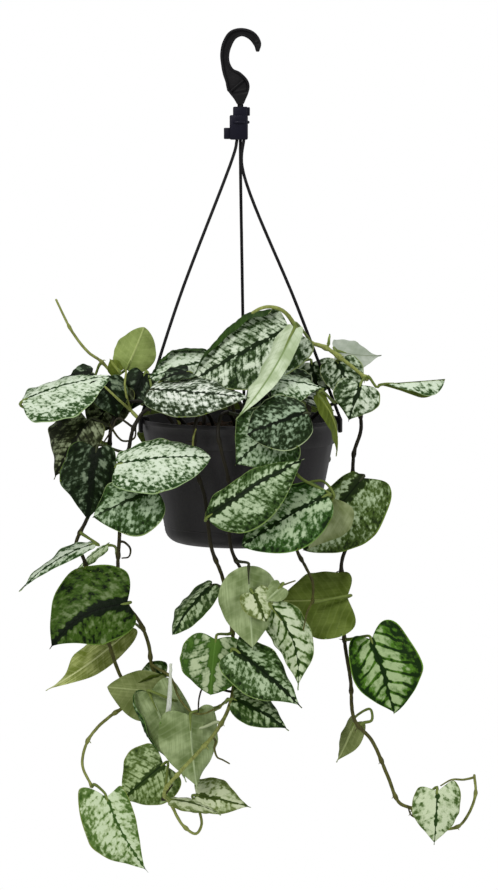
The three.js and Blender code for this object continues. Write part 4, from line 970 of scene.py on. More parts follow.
# the vine each leaves, how green it is, how thick (1 = a thin twig), and the places it passes
twigs = [
    ("vine_left_outer", 0.4, 1, [(-96, -40, -286), (-87, -46, -297), (-78, -48, -295),
        (-77, -46, -285)]),
    ("vine_left_inner", 0.3, 1, [(-90, -54, -280), (-94, -58, -288), (-100, -60, -297)]),
    ("vine_left_inner", 0.35, 1, [(-86, -54, -371), (-81, -54, -376), (-82, -55, -382),
        (-87, -55, -383)]),
    ("vine_front_left", 0.6, 1, [(-18, -68, -517), (-19, -72, -521), (-17, -73, -528),
        (-13, -73, -530), (-8, -72, -533)]),
    ("vine_front_left", 0.2, 1, [(-27, -64, -478), (-30, -66, -484), (-31, -70, -495)]),
    ("vine_left_inner", 0.65, 1.2, [(-59, -56, -466), (-53, -60, -469), (-49, -62, -475),
        (-46, -66, -483), (-41, -70, -490), (-35, -72, -495), (-27, -71, -496), (-19, -69, -493)]),
    ("vine_left_inner", 1, 1.3, [(-81, -36, -275), (-83.5, -40, -266), (-85, -42, -256),
        (-84, -42, -246)]),
    ("vine_left_inner", 1, 1.4, [(-80, -38, -276), (-87, -46, -269), (-94, -50, -262),
        (-99, -52, -257)]),
    ("vine_front_middle", 0.7, 1, [(22, -70, -405), (31, -78, -400), (40, -76, -397)]),
    ("vine_front_right", 0.6, 1, [(52, -74, -414), (49, -80, -419), (46, -84, -432)]),
    ("vine_front_left", 0.75, 1, [(-34, -81, -301), (-34, -84, -292), (-32, -86, -285)]),
    ("vine_right", 0.5, 1, [(135, -26, -583), (128, -30, -580), (125, -34, -572)]),
    ("vine_front_left", 0.4, 1, [(-58, -62, -562), (-55, -64, -557), (-50, -66, -550)]),
    ("vine_top_right", 1, 2, [(38, -44, -209), (33.5, -50, -203), (27.5, -56, -199),
        (20, -59, -197.8), (14, -60, -199.2), (9, -60, -202)]),
    ("vine_right", 0.8, 1, [(168, -15, -556), (159, -20, -555), (150, -28, -558)]),
]


# leaves
# heights and widths in millimetres; the spans along a blade are shares of its length
bladeShape = {"rows": 60, "columns": 13, "thickness": 0.5, "rimThickness": 0.12, "ridge": 0.9,
              "ridgeWidth": 0.75, "groove": 0.4, "grooveWidth": 0.8, "quilt": 0.2,
              "quiltStep": 5.2, "sag": 1.4, "sagStep": 17, "wave": 1.2, "waves": (2.3, 5.1),
              "fullWidth": 50}
# the outline: how full it is towards the tip, and where it ends, for a drawn-out and a blunt tip
outlineShape = {"foot": 0.7, "tip": 0.3, "bluntTip": 0.62, "end": 0.965, "bluntEnd": 1.0,
                "taper": 0.42, "drip": 0.3}
# where a folded-over margin bends, as shares of the way out, and how soon along the blade
hemShape = {"bend": (0.6, 0.84), "opens": 0.35, "parts": 16}
# a stalk's radii and swollen collar, how it leaves the vine and meets the blade, and how far
# along the midrib and how deep under it it runs
stalkShape = {"start": 1.35, "middle": 1.0, "end": 0.45, "collar": 0.22, "collarLength": 0.06,
              "lead": 4, "under": 2.5, "leadShare": 0.3, "upShare": 0.25, "backShare": 0.15,
              "first": 0.1, "reach": 0.22, "below": (1.1, 1.5, 1.0), "step": 1.6, "sides": 8,
              "youth": (0.35, 0.85)}
# fold, curl and hem, in degrees, and lobe, belly and blunt may be pairs: one for each side of
# the midrib
leafDefaults = {"fold": 0, "curl": 0, "hem": 0, "hemFrom": -1, "arch": 0.06, "sickle": 0,
                "twist": 0, "asym": 0, "lobe": 0.15, "belly": 0.88, "blunt": 0,
                "under": "olive", "stalk": "young", "finish": "mottled"}
shootBend = {"fold": -8, "curl": -16, "arch": 0.1}
alongPower = 1.6  # how the rows of a blade bunch up towards its foot


def bladeFrame(leaf):
    base = Vector(leaf["base"])
    span = Vector(leaf["tip"]) - base
    along = span.normalized()
    faces = Vector(leaf["faces"])
    up = (faces - along * faces.dot(along)).normalized()
    return base, span.length, along, up.cross(along), up


def fullHalf(leaf, side):
    # the widest that one half of the blade gets
    return leaf["width"] / 2 * (1 + leaf["asym"] * (1 if side else -1))


def halfWidth(leaf, side, s):
    # from the midrib to the margin, at a share of the way to the tip
    shape = outlineShape
    belly, blunt = leaf["belly"][side], leaf["blunt"][side]
    drawnOut = shape["foot"] + shape["tip"] * smooth(s, 0.5, 1.0)
    fullness = mixed(drawnOut, shape["bluntTip"], blunt)
    end = mixed(shape["end"], shape["bluntEnd"], blunt)
    bell = max(0.0, math.sin(math.pi * min(1.0, s / end) ** belly)) ** fullness
    bell *= 1 - shape["taper"] * (1 - blunt) * s ** 8
    drip = shape["drip"] * (1 - s) * smooth(s, 0.5, 0.85) * (1 - blunt)
    return fullHalf(leaf, side) * (bell ** 4 + drip ** 4) ** 0.25


def bentAcross(leaf, side, q, s):
    # a half blade bends up or down across: its lean there, how far out it gets and how high
    bend = math.radians(leaf["fold"][side])
    bow = math.radians(leaf["curl"][side]) or 1e-4
    opened = smooth(s, leaf["hemFrom"], leaf["hemFrom"] + hemShape["opens"])
    hem = math.radians(leaf["hem"][side]) * opened

    def leanAt(w):
        return bend + bow * w + hem * smooth(w, *hemShape["bend"])

    lean = leanAt(q)
    if leaf["hem"][side]:
        parts = hemShape["parts"]
        tilts = [leanAt(q * (k + 0.5) / parts) for k in range(parts)]
        wide, high = [sum(turn(tilt) for tilt in tilts) * q / parts
                      for turn in (math.cos, math.sin)]
    else:
        wide = (math.sin(lean) - math.sin(bend)) / bow
        high = (math.cos(bend) - math.cos(lean)) / bow
    return lean, wide, high


def bladeRelief(leaf, side, s, q, x, y, seed):
    # the groove over the midrib, the quilting between the veins, slack places and a wavy margin
    shape = bladeShape
    rise = -shape["groove"] * gauss(y, shape["grooveWidth"]) * (1 - s ** 3)
    vein = (x - veinShape["lean"] * abs(y)) / shape["quiltStep"]
    vein += veinShape["outOfStep"] * (1 if side else -1)
    rise += shape["quilt"] * math.cos(2 * math.pi * vein + math.pi) * smooth(q, 0.05, 0.25) \
        * (1 - smooth(q, 0.75, 1.0))
    slack = noise.noise(Vector((x / shape["sagStep"], y / shape["sagStep"], seed * 3.7)))
    rise += shape["sag"] * slack * smooth(q, 0.0, 0.5)
    long, short = shape["waves"]
    edge = math.sin(2 * math.pi * (s * long + seed * 0.61 + 0.35 * side)) \
        + 0.5 * math.sin(2 * math.pi * (s * short + seed * 1.7 + 0.2 * side))
    rise += shape["wave"] * edge * q ** 3 * smooth(s, 0.0, 0.2) * (1 - smooth(s, 0.8, 1.0)) \
        * min(1, fullHalf(leaf, side) / (shape["fullWidth"] / 2))
    return rise


def bladePoint(leaf, s, t, seed=0.0, relief=True):
    # a place on the blade's upper side, the way it faces there, and its flat place along and
    # across; s runs from foot to tip, u is how far that is along the midrib, t runs from -1 to 1
    # across and q is how far that is out from the midrib
    base, length, along, across, up = bladeFrame(leaf)
    side, sign = (0, -1) if t < 0 else (1, 1)
    q = abs(t)
    u = s ** alongPower
    tangent = Vector((length, leaf["sickle"] * length * math.pi * math.cos(math.pi * u),
                      length * leaf["arch"] * 4 * (1 - 2 * u))).normalized()
    flat = Vector((-tangent.y, tangent.x, 0)).normalized()
    lift = tangent.cross(flat)
    roll = math.radians(leaf["twist"]) * (u - 0.3)
    sideways = flat * math.cos(roll) + lift * math.sin(roll)
    outwards = lift * math.cos(roll) - flat * math.sin(roll)
    reach = halfWidth(leaf, side, s)
    w = min(1.0, 2 * s)
    lobeBack = leaf["lobe"][side] * length * math.sin(math.pi * w ** 0.8) * (1 - w ** 4)
    forward = length * s ** 1.4 - lobeBack - length * u
    lean, wide, high = bentAcross(leaf, side, q, s)
    facing = outwards * math.cos(lean) - sideways * (sign * math.sin(lean))
    x = length * u + forward * q
    y = sign * reach * q
    local = Vector((length * u, leaf["sickle"] * length * math.sin(math.pi * u),
                    length * leaf["arch"] * 4 * u * (1 - u)))
    local += tangent * (forward * q) + sideways * (sign * reach * wide) + outwards * (reach * high)
    if relief:
        local += facing * bladeRelief(leaf, side, s, q, x, y, seed)
    facing = (along * facing.x + across * facing.y + up * facing.z).normalized()
    return base + along * local.x + across * local.y + up * local.z, facing, (x, y)


def addBlade(build, leaf, seed):
    shape = bladeShape
    rows, columns = shape["rows"], shape["columns"] * (2 if any(leaf["hem"]) else 1)
    shares = [0.5 * (1 - math.cos(math.pi * i / rows)) for i in range(rows + 1)]
    steps = [math.copysign(abs(k / columns) ** 1.25, k) for k in range(-columns, columns + 1)]
    top, low, flats, places = [], [], [], []
    for i, s in enumerate(shares):
        line = [0.0] if i in (0, rows) else steps
        tops, lows, flat, place = [], [], [], []
        for t in line:
            spot, facing, (x, y) = bladePoint(leaf, s, t, seed)
            q = abs(t)
            deep = mixed(shape["thickness"], shape["rimThickness"], q)
            deep += shape["ridge"] * gauss(y, shape["ridgeWidth"]) * (1 - 0.75 * s) \
                * smooth(s, 0.0, 0.03)
            a = build.point(spot)
            tops.append(a)
            lows.append(a if q == 1 or len(line) == 1 else build.point(spot - facing * deep))
            flat.append((x / 10, y / 10))
            place.append((s ** alongPower, (t + 1) / 2))
        if len(line) == 1:
            tops, lows, flat, place = [v * (2 * columns + 1) for v in (tops, lows, flat, place)]
        for rowList, row in zip((top, low, flats, places), (tops, lows, flat, place)):
            rowList.append(row)
    for i in range(rows):
        for j in range(2 * columns):
            cells = [(i, j), (i + 1, j), (i + 1, j + 1), (i, j + 1)]
            if i == 0:
                cells = [(0, j), (1, j), (1, j + 1)]
            if i == rows - 1:
                cells = [(i, j), (i + 1, j), (i, j + 1)]
            flat = [flats[a][b] for a, b in cells]
            place = [places[a][b] for a, b in cells]
            build.face([top[a][b] for a, b in cells], 0, flat, place)
            build.face([low[a][b] for a, b in reversed(cells)], 1, flat[::-1], place[::-1])


def nearestOnVine(name, place):
    line = vineLines[name]
    best = min(range(3, len(line)), key=lambda k: (line[k] - place).length)
    return best, line[best], wayAt(line, best).normalized()


def addStalk(build, leaf):
    shape = stalkShape
    base, length, along, _, up = bladeFrame(leaf)
    via = [Vector(p) for p in leaf.get("via", [])]
    index, centre, ahead = nearestOnVine(leaf["vine"], Vector(leaf.get("node", base)))
    away = (via[0] if via else base) - centre
    radial = (away - ahead * away.dot(ahead)).normalized()
    free = (base - centre).length
    lead = centre + radial * min(shape["lead"], free * shape["leadShare"])
    under = base - up * min(shape["lead"], free * shape["upShare"]) \
        - along * min(shape["under"], free * shape["backShare"])
    points = [centre, lead] + via + [under, base - up * shape["below"][0]]
    # the last stretch lies under the blade
    for share, below in zip((shape["first"], shape["reach"]), shape["below"][1:]):
        spot, facing, _ = bladePoint(leaf, share ** (1 / alongPower), 0.0, relief=False)
        points.append(spot - facing * below)
    line = evenly(curveThrough(points, 10), shape["step"])
    bladeStart = 1 - shape["reach"] * length / max(1.0, lengthOf(line))

    def thick(w):
        size = mixed(shape["start"], shape["middle"], smooth(w, 0.0, 0.35))
        size += shape["collar"] * gauss(w - bladeStart, shape["collarLength"])
        return mixed(size, shape["end"], smooth(w, bladeStart, 1.0))

    tube(build, line, thick, shape["sides"], 2, lambda w: mixed(*shape["youth"], w),
         (False, True), 0.06)
    stalkFeet.append((leaf["vine"], index, radial))


def leafPiece(name, leaf, seed):
    full = {**leafDefaults, **leaf}
    for key in ("fold", "curl", "hem", "lobe", "belly", "blunt"):
        if not isinstance(full[key], tuple):
            full[key] = (full[key], full[key])
    build = Build()
    addBlade(build, full, seed)
    addStalk(build, full)
    looks = [topMaterials[full["look"]], backMaterials[full["under"]],
             stalkMaterials[full["stalk"]]]
    piece = build.make(name, looks, seed)
    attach(piece, "hanging_pot")
    return piece


def pieceName(nodeName):
    # vine_left_outer becomes leftOuterVine
    words = nodeName.split("_")
    words = words[1:] + words[:1]
    return words[0] + "".join(w.capitalize() for w in words[1:])


def vineLine(vine):
    # every vine rises straight out of the soil before it goes its own way
    rise = [(*vine["foot"], z) for z in vineRise]
    return evenly(curveThrough(rise + vine["line"], 14), vineStep)


def seedOf(kind, number):
    start, step = leafSeeds[kind]
    return start + step * number


vineRise = (-292.6, -286)  # the soil's surface and the height where a vine starts to lean
vineStep = 1.5  # between the points of a vine's line
vineLines = {name: vineLine(vine) for name, vine in vines.items()}
stalkFeet = []  # the vine, the point on its line and the way out, for each stalk made
# start and step of the numbers that make every leaf's pattern and waves its own
leafSeeds = {"trailing": (0.5, 1.37), "shoots": (90, 2.3), "extra": (140, 3.1)}
for number, (name, leaf) in enumerate(leaves.items()):
    piece = leafPiece(pieceName(name), leaf, seedOf("trailing", number))
    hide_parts(name)
for name, group in shootLeaves.items():
    for number, leaf in enumerate(group):
        leafPiece(pieceName(name) + "Leaf" + str(number + 1), {**shootBend, **leaf, "vine": name},
                  seedOf("shoots", len(stalkFeet)))
for name, leaf in extraLeaves.items():
    leafPiece(name, leaf, seedOf("extra", len(stalkFeet)))
print("leaves made:", len(stalkFeet))


# vines
# joints every so often, each with a swelling, a leaf scar and perhaps an aerial root
vineShape = {"joint": 30, "jointSwell": 0.42, "jointLength": 2.2, "scar": 0.16, "scarPlace": 3.2,
             "scarLength": 0.8, "tipThinner": 0.25, "sides": 12, "lumps": 0.12,
             "rootChance": 0.6, "rootLength": (2.5, 7), "rootSize": 0.55, "rootEnd": 0.4,
             "rootSides": 6, "rootDroop": (0, 0, -0.3)}
rootDraw = random.Random(11)


def addRootlet(build, start, way, length, young):
    # an aerial root that leaves the joint and bends down
    size = vineShape["rootSize"]
    drift = Vector([rootDraw.uniform(-0.5, 0.5) for _ in range(3)])
    end = start + way * length * 0.8 + (drift + Vector(vineShape["rootDroop"])) * length * 0.5
    path = evenly(curveThrough([start, start + way * length * 0.4, end], 6), 0.8)
    tube(build, path, lambda w: mixed(size, size * vineShape["rootEnd"], w),
         vineShape["rootSides"], 0, lambda w: young + 0.1 * w, (False, True), 0.1)


def makeVine(name, vine):
    shape = vineShape
    line = vineLines[name]
    last = len(line) - 1
    joints = [(index, radial) for owner, index, radial in stalkFeet if owner == name]
    gapCount = round(shape["joint"] / vineStep)
    for index in range(gapCount, len(line) - 4, gapCount):
        if all(abs(index - other) > gapCount * 0.4 for other, _ in joints):
            joints.append((index, Vector([rootDraw.uniform(-1, 1) for _ in range(3)])))

    def thick(w):
        size = 1 - shape["tipThinner"] * smooth(w, 0.7, 1.0)
        for mark, _ in joints:
            apart = (w * last - mark) * vineStep
            size += shape["jointSwell"] * gauss(apart, shape["jointLength"])
            size -= shape["scar"] * gauss(apart - shape["scarPlace"], shape["scarLength"])
        return vine["radius"] * size

    def youthAt(w):
        return mixed(*vine["youth"], w ** 1.2)

    build = Build()
    tube(build, line, thick, shape["sides"], 0, youthAt, (False, True), shape["lumps"])
    for index, radial in joints:
        if rootDraw.random() < shape["rootChance"]:
            ahead = wayAt(line, index).normalized()
            way = (-radial + ahead * radial.dot(ahead)).normalized()
            addRootlet(build, line[index] + way * vine["radius"] * 0.8, way,
                       rootDraw.uniform(*shape["rootLength"]), youthAt(index / last))
    piece = build.make(pieceName(name), [vineSkin])
    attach(piece, "hanging_pot")
    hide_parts(name)


for name, vine in vines.items():
    makeVine(name, vine)
print("vines made:", len(vines))

# bare twigs, tendrils and cut stalks that leave the vines
twigShape = {"start": 1.0, "end": 0.55, "sides": 8, "lumps": 0.12, "step": 1.2}


def makeTwigs():
    shape = twigShape
    build = Build()
    for vineName, youth, thick, points in twigs:
        first = Vector(points[0])
        foot = min(vineLines[vineName], key=lambda spot: (spot - first).length)
        path = evenly(curveThrough([foot] + [Vector(p) for p in points], 8), shape["step"])
        tube(build, path, lambda w: thick * mixed(shape["start"], shape["end"], w),
             shape["sides"], 0, lambda w: youth, (False, True), shape["lumps"])
    piece = build.make("vineTwigs", [vineSkin])
    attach(piece, "hanging_pot")


makeTwigs()


# the plastics of the hanger and the pot
plasticLooks = {
    "hookPlastic": {"deep": (20, 19, 21), "worn": (46, 44, 47), "roughness": 0.45},
    "hubPlastic": {"deep": (20, 19, 34), "worn": (48, 47, 66), "roughness": 0.4},
    "strandPlastic": {"deep": (18, 17, 19), "worn": (40, 38, 41), "roughness": 0.45},
    "potPlastic": {"deep": (23, 20, 23), "worn": (50, 45, 52), "roughness": 0.4, "specular": 0.5},
}
plastics = {name: plasticMaterial(name, **look) for name, look in plasticLooks.items()}

# hook
# stations of the hook's middle line: x, z and half the width there
hookLine = [
    (12.8, -10.4, 1.5), (12.6, -5.6, 2.9), (8.6, 0.2, 3.3), (1.2, 3, 3), (-5.6, 0.8, 3.6),
    (-9.9, -6, 3.7), (-11.6, -13.8, 3.4), (-11, -20.4, 3.4), (-8.8, -26.6, 4.6), (-4.6, -32, 7.4),
    (-1.6, -37.4, 8.6), (-0.6, -42.2, 6.8), (-0.2, -46.4, 4.4), (0, -50, 2.6),
]
# the pocket's start and end are counted in stations from either end of the line, the free end's
# rings are (step along the line, size), and the shank with its button is (radius, height)
hookShape = {"half": 3.5, "rim": 1.7, "web": 1.3, "bevel": 0.7, "steps": 7,
             "pocketFrom": (0.8, 1.4), "pocketTo": (-3.6, -2.8),
             "freeEnd": [(-1.0, 0.55), (-0.6, 0.85), (0, 1)],
             "shank": [(0, -65), (3.1, -65), (3.45, -64.85), (3.6, -64.5), (3.6, -62.5),
                       (3.45, -62.15), (3.1, -62), (2.3, -61.9), (2.2, -61.6), (2.2, -48),
                       (0, -46.5)],
             "rib": {"center": (-2.6, 0, -36.5), "size": (13, 6.4, 1.6), "bevel": 0.5,
                     "tilt": -0.72}}


def makeHook():
    build = Build()
    shape = hookShape
    half, rim = shape["half"], shape["rim"]
    line = curveThrough([(x, w, z) for x, z, w in hookLine], shape["steps"])
    pocketEnd = [len(hookLine) + back for back in shape["pocketTo"]]
    rings = []
    for i, spot in enumerate(line):
        ahead = wayAt(line, i)
        ahead.y = 0
        ahead.normalize()
        across = Vector((-ahead.z, 0, ahead.x))
        station = i / shape["steps"]
        pocket = smooth(station, *shape["pocketFrom"]) * (1 - smooth(station, *pocketEnd))
        for slide, shrink in (shape["freeEnd"] if i == 0 else [(0, 1)]):
            w = spot.y * shrink
            h = half * (0.8 + 0.2 * shrink)
            bevel = min(shape["bevel"], w * 0.35)
            inner = max(w * 0.3, w - rim)
            deep = (h - shape["web"]) * pocket * smooth(w - rim, 0.1, 0.9)
            outline = [(-w, -h + bevel), (-w + bevel, -h), (-inner, -h),
                       (-inner * 0.88, -h + deep), (inner * 0.88, -h + deep), (inner, -h),
                       (w - bevel, -h), (w, -h + bevel)]
            outline += [(a, -y) for a, y in reversed(outline)]
            centre = Vector((spot.x, 0, spot.z)) + ahead * slide
            rings.append([centre + across * a + Vector((0, y, 0)) for a, y in outline])
    ringStack(build, rings)
    softBlock(build, **shape["rib"])
    lathe(build, shape["shank"], 40)
    piece = build.make("ribbedHook", [plastics["hookPlastic"]], sharpAt=38)
    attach(piece, "hook")
    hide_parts("swivel_hook")


makeHook()

# strands and hub
# each strand's place on the rim in degrees, where it leaves the hub, the neck where it starts to
# spread, and how far it bows out
strands = {
    "strand_left": {"rimAngle": 194, "socket": (-2.6, -1.2), "neck": (-3.9, -1.4, -84), "bow": 2.8},
    "strand_right": {"rimAngle": -14, "socket": (2.6, -1.2), "neck": (1.2, -1.8, -96), "bow": 0.5},
    "strand_back": {"rimAngle": 88, "socket": (0, 2.8), "neck": (0, 4, -92), "bow": 1},
}
strandShape = {"radius": 1.2, "sides": 12, "lumps": 0.03, "hubFoot": -76.5, "seat": 76.5,
               "end": -283, "socket": 4, "socketGap": 0.3, "bowAt": 0.55, "step": 3.0}
# the clip's path over the rim as (radius, height), its width and thickness
clipShape = {"path": [(76.5, -293), (76.5, -289), (76.5, -285), (76.35, -283.6), (75.6, -282.6),
                      (74, -282.5), (72.5, -282.55), (71.6, -283.3), (71.5, -284.5), (71.5, -286)],
             "width": 6, "thick": 2.4, "bevel": 0.6, "step": 0.9, "endStep": 0.4, "endSize": 0.7}
hubShape = {
    "blocks": [  # centre, size, rounding
        ((0, 0, -55.5), (11, 9.5, 7), 1.1), ((-1.2, 0, -67.35), (13.6, 11, 18.3), 1.2),
        ((5.6, 0, -55.6), (3, 6, 6.4), 0.7), ((-9.8, 0, -71.8), (5, 7, 8.4), 0.8),
    ],
    # the round waist and the bore for the hook's shank, as (radius, height)
    "waist": [(0, -64.6), (6.8, -64.6), (7.2, -64.4), (7.4, -64), (7.4, -63), (7.2, -62.6),
              (6.8, -62.4), (0, -62.4)],
    "waistX": -0.6,
    "bore": [(0, -65.3), (4.1, -65.3), (4.1, -61.7), (2.6, -61.7), (2.6, -50), (0, -50)],
}


def strandLine(strand):
    turn = math.radians(strand["rimAngle"])
    out = Vector((math.cos(turn), math.sin(turn), 0))
    shape = strandShape
    top = Vector((*strand["socket"], shape["hubFoot"]))
    end = out * shape["seat"] + Vector((0, 0, shape["end"]))
    neck = Vector(strand["neck"])
    start = top - (neck - top).normalized() * shape["socket"]
    middle = neck.lerp(end, shape["bowAt"]) + out * strand["bow"]
    return evenly(curveThrough([start, top, neck, middle, end], 12), shape["step"]), out


def addClip(build, out):
    shape = clipShape
    across = Vector((-out.y, out.x, 0))
    corners = [out * r + Vector((0, 0, z)) for r, z in shape["path"]]
    path = evenly(curveThrough(corners, 6), shape["step"])
    outline = roundedOutline(shape["width"] / 2, shape["thick"] / 2, shape["bevel"], 3)
    rings = []
    for i, spot in enumerate(path):
        ahead = wayAt(path, i).normalized()
        normal = ahead.cross(across)
        # a smaller ring past each end rounds it off
        before = [(-shape["endStep"], shape["endSize"])] if i == 0 else []
        after = [(shape["endStep"], shape["endSize"])] if i == len(path) - 1 else []
        for slide, shrink in before + [(0, 1)] + after:
            rings.append([spot + ahead * slide + (across * wide + normal * deep) * shrink
                          for wide, deep in outline])
    ringStack(build, rings)


def makeStrand(name, strand):
    # makes the strand and gives back the tool that cuts its socket into the hub
    shape = strandShape
    line, out = strandLine(strand)
    build = Build()
    tube(build, line, shape["radius"], shape["sides"], grow=shape["lumps"])
    addClip(build, out)
    piece = build.make(pieceName(name), [plastics["strandPlastic"]], sharpAt=40)
    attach(piece, "hanging_pot")
    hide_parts(name)
    socket = Build()
    tube(socket, line[:4], shape["radius"] + shape["socketGap"], shape["sides"],
         rounded=(False, False))
    return socket.make("socketTool", [plastics["hubPlastic"]])


def makeHub(sockets):
    looks = [plastics["hubPlastic"]]
    blocks = []
    for centre, size, bevel in hubShape["blocks"]:
        build = Build()
        softBlock(build, centre, size, bevel)
        blocks.append(build.make("hubBody", looks))
    build = Build()
    lathe(build, hubShape["waist"], 48, x=hubShape["waistX"])
    waist = build.make("hubWaist", looks)
    build = Build()
    lathe(build, hubShape["bore"], 40)
    bore = build.make("boreTool", looks)
    piece = blocks[0]
    carve(piece, blocks[1:] + [waist], "UNION")
    carve(piece, sockets + [bore])
    piece.name = "swivelHub"
    piece.data.set_sharp_from_angle(angle=math.radians(40))
    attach(piece, "hanging_pot")
    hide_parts("hanger_hub")


makeHub([makeStrand(name, strand) for name, strand in strands.items()])
print("hook, hub and strands made")

# pot
potShape = {"rim": 75, "top": -284, "lip": 2.6, "bandFoot": (71, -302.3), "wallTop": (69.5, -302),
            "base": 57, "foot": -377, "corner": 11, "wall": 1.5, "footRing": 5, "floor": -375.8,
            "facets": 160, "cornerSteps": 8, "seam": 0.18, "holes": 6, "holeRadius": 4,
            "holeCircle": 30, "sharpAt": 32}


def potOutline():
    # from the middle of the foot up the outside, over the lip and down the inside
    shape = potShape
    rim, top, wall, lip = shape["rim"], shape["top"], shape["wall"], shape["lip"]
    base, corner, foot, floor = shape["base"], shape["corner"], shape["foot"], shape["floor"]
    steps, seam = shape["cornerSteps"], shape["seam"]
    footEdge, cornerZ = base - corner, foot + corner
    ring = footEdge - shape["footRing"]
    (bandR, bandZ), (wallR, wallZ) = shape["bandFoot"], shape["wallTop"]
    outline = [(0, floor), (ring - 1, floor), (ring - 0.4, floor - 0.5), (ring + 0.3, foot),
               (footEdge, foot)]
    for i in range(1, steps + 1):
        a = math.pi / 2 * i / steps
        outline.append((footEdge + corner * math.sin(a), cornerZ - corner * math.cos(a)))
    # a fine witness line where the mould halves met, then the wall, the band and the lip
    slope = (wallR - base) / (wallZ - cornerZ)
    for rise, proud, height in ((0.8, 0, 0.8), (1.1, seam, 1.0), (1.5, seam, 1.3), (1.8, 0, 1.6)):
        outline.append((base + slope * rise + proud, cornerZ + height))
    outline += [(mixed(base + slope * 1.8, wallR, w), mixed(cornerZ + 1.6, wallZ, w))
                for w in (0.25, 0.5, 0.75, 0.97, 1.0)]
    outline += [(wallR + 0.3, wallZ + 0.15), (bandR - 0.3, bandZ - 0.05), (bandR, bandZ + 0.35)]
    outline += [(mixed(bandR, rim - 0.8, w), mixed(bandZ, top - lip - 0.8, w))
                for w in (0.35, 0.7, 0.97)]
    outline += [(rim - 0.3, top - lip - 0.5), (rim, top - lip), (rim, top - 0.5),
                (rim - 0.15, top - 0.12), (rim - 0.45, top), (rim - wall + 0.4, top),
                (rim - wall + 0.1, top - 0.12), (rim - wall, top - 0.45), (rim - wall, top - lip)]
    outline += [(bandR - wall, bandZ + wall + 0.3), (wallR - wall, wallZ - wall / 2),
                (base - wall, cornerZ)]
    for i in range(steps - 1, 0, -1):
        a = math.pi / 2 * i / steps
        outline.append((footEdge + (corner - wall) * math.sin(a),
                        cornerZ - (corner - wall) * math.cos(a)))
    return outline + [(footEdge, floor + wall), (0, floor + wall)]


def makePot():
    shape = potShape
    build = Build()
    lathe(build, potOutline(), shape["facets"])
    piece = build.make("growingPot", [plastics["potPlastic"]], sharpAt=shape["sharpAt"])
    radius, low, high = shape["holeRadius"], shape["foot"] - 2, shape["floor"] + 3 * shape["wall"]
    tools = []
    for a in around(shape["holes"]):
        tool = Build()
        lathe(tool, [(0, low), (radius, low), (radius, high), (0, high)], 32,
              x=shape["holeCircle"] * math.cos(a), y=shape["holeCircle"] * math.sin(a))
        tools.append(tool.make("holeTool", [plastics["potPlastic"]]))
    carve(piece, tools)
    piece.data.set_sharp_from_angle(angle=math.radians(shape["sharpAt"]))
    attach(piece, "hanging_pot")
    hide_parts("nursery_pot")


makePot()

# soil
soilShape = {"top": -293, "rings": 34, "facets": 120, "radius": 70.4, "lumps": 1.6, "lumpStep": 9,
             "edgeDrop": 1.2, "edgeFrom": 62,
             # the buried sides as (radius, height)
             "sides": [(44, -373.8), (50, -371), (54.6, -366), (66.8, -304), (69.3, -296.5)],
             "crumbs": 420, "crumbSize": (0.9, 3.2), "crumbReach": 68,
             "crumbSides": ((0.6, 1.3), (0.5, 1.0), (0.35, 0.8)), "crumbRough": (0.75, 1.2)}
soilLooks = {"dark": (24, 18, 13), "light": (62, 46, 33), "fleck": (112, 90, 66),
             "lightStep": (0.35, 0.65), "fleckStep": (0.62, 0.72), "fleckShare": 0.7,
             "grain": 900.0, "lumps": 160.0, "roughness": 0.95, "specular": 0.2, "bump": 0.0006}


def soilHeight(x, y):
    shape = soilShape
    rough = noise.fractal(Vector((x / shape["lumpStep"], y / shape["lumpStep"], 4.2)), 0.9, 2.2, 4)
    drop = shape["edgeDrop"] * smooth(math.hypot(x, y), shape["edgeFrom"], shape["radius"])
    return shape["top"] + shape["lumps"] * rough - drop


def soilMaterial():
    looks = soilLooks
    material, tree, shader = newMaterial("pottingSoil", looks["roughness"], looks["specular"])
    spot = node(tree, "ShaderNodeTexCoord").outputs["Object"]
    fine = grain(tree, spot, looks["grain"], 4.0)
    lumps = grain(tree, spot, looks["lumps"], 4.0)
    dark, light, fleck = [tint(*looks[part]) for part in ("dark", "light", "fleck")]
    colour = blendTint(tree, spread(tree, lumps, looks["lightStep"]), dark, light)
    onFleck = spread(tree, fine, looks["fleckStep"], (0.0, looks["fleckShare"]))
    colour = blendTint(tree, onFleck, colour, fleck)
    feed(tree, shader.inputs["Base Color"], colour)
    addBump(tree, shader, calc(tree, "ADD", fine, lumps), looks["bump"])
    return material


def makeSoil():
    shape = soilShape
    build = Build()
    turns = around(shape["facets"])
    rings = []
    for r, z in shape["sides"]:
        rings.append([build.point((r * math.cos(a), r * math.sin(a), z)) for a in turns])
    for i in range(shape["rings"]):
        r = shape["radius"] * (1 - i / shape["rings"])
        places = [(r * math.cos(a), r * math.sin(a)) for a in turns]
        rings.append([build.point((x, y, soilHeight(x, y))) for x, y in places])
    low = build.point((0, 0, shape["sides"][0][1]))
    high = build.point((0, 0, soilHeight(0, 0)))
    skinTurned(build, rings, low, high)
    piece = build.make("soilFill", [soilLook], sharpAt=60)
    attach(piece, "hanging_pot")
    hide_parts("potting_soil")


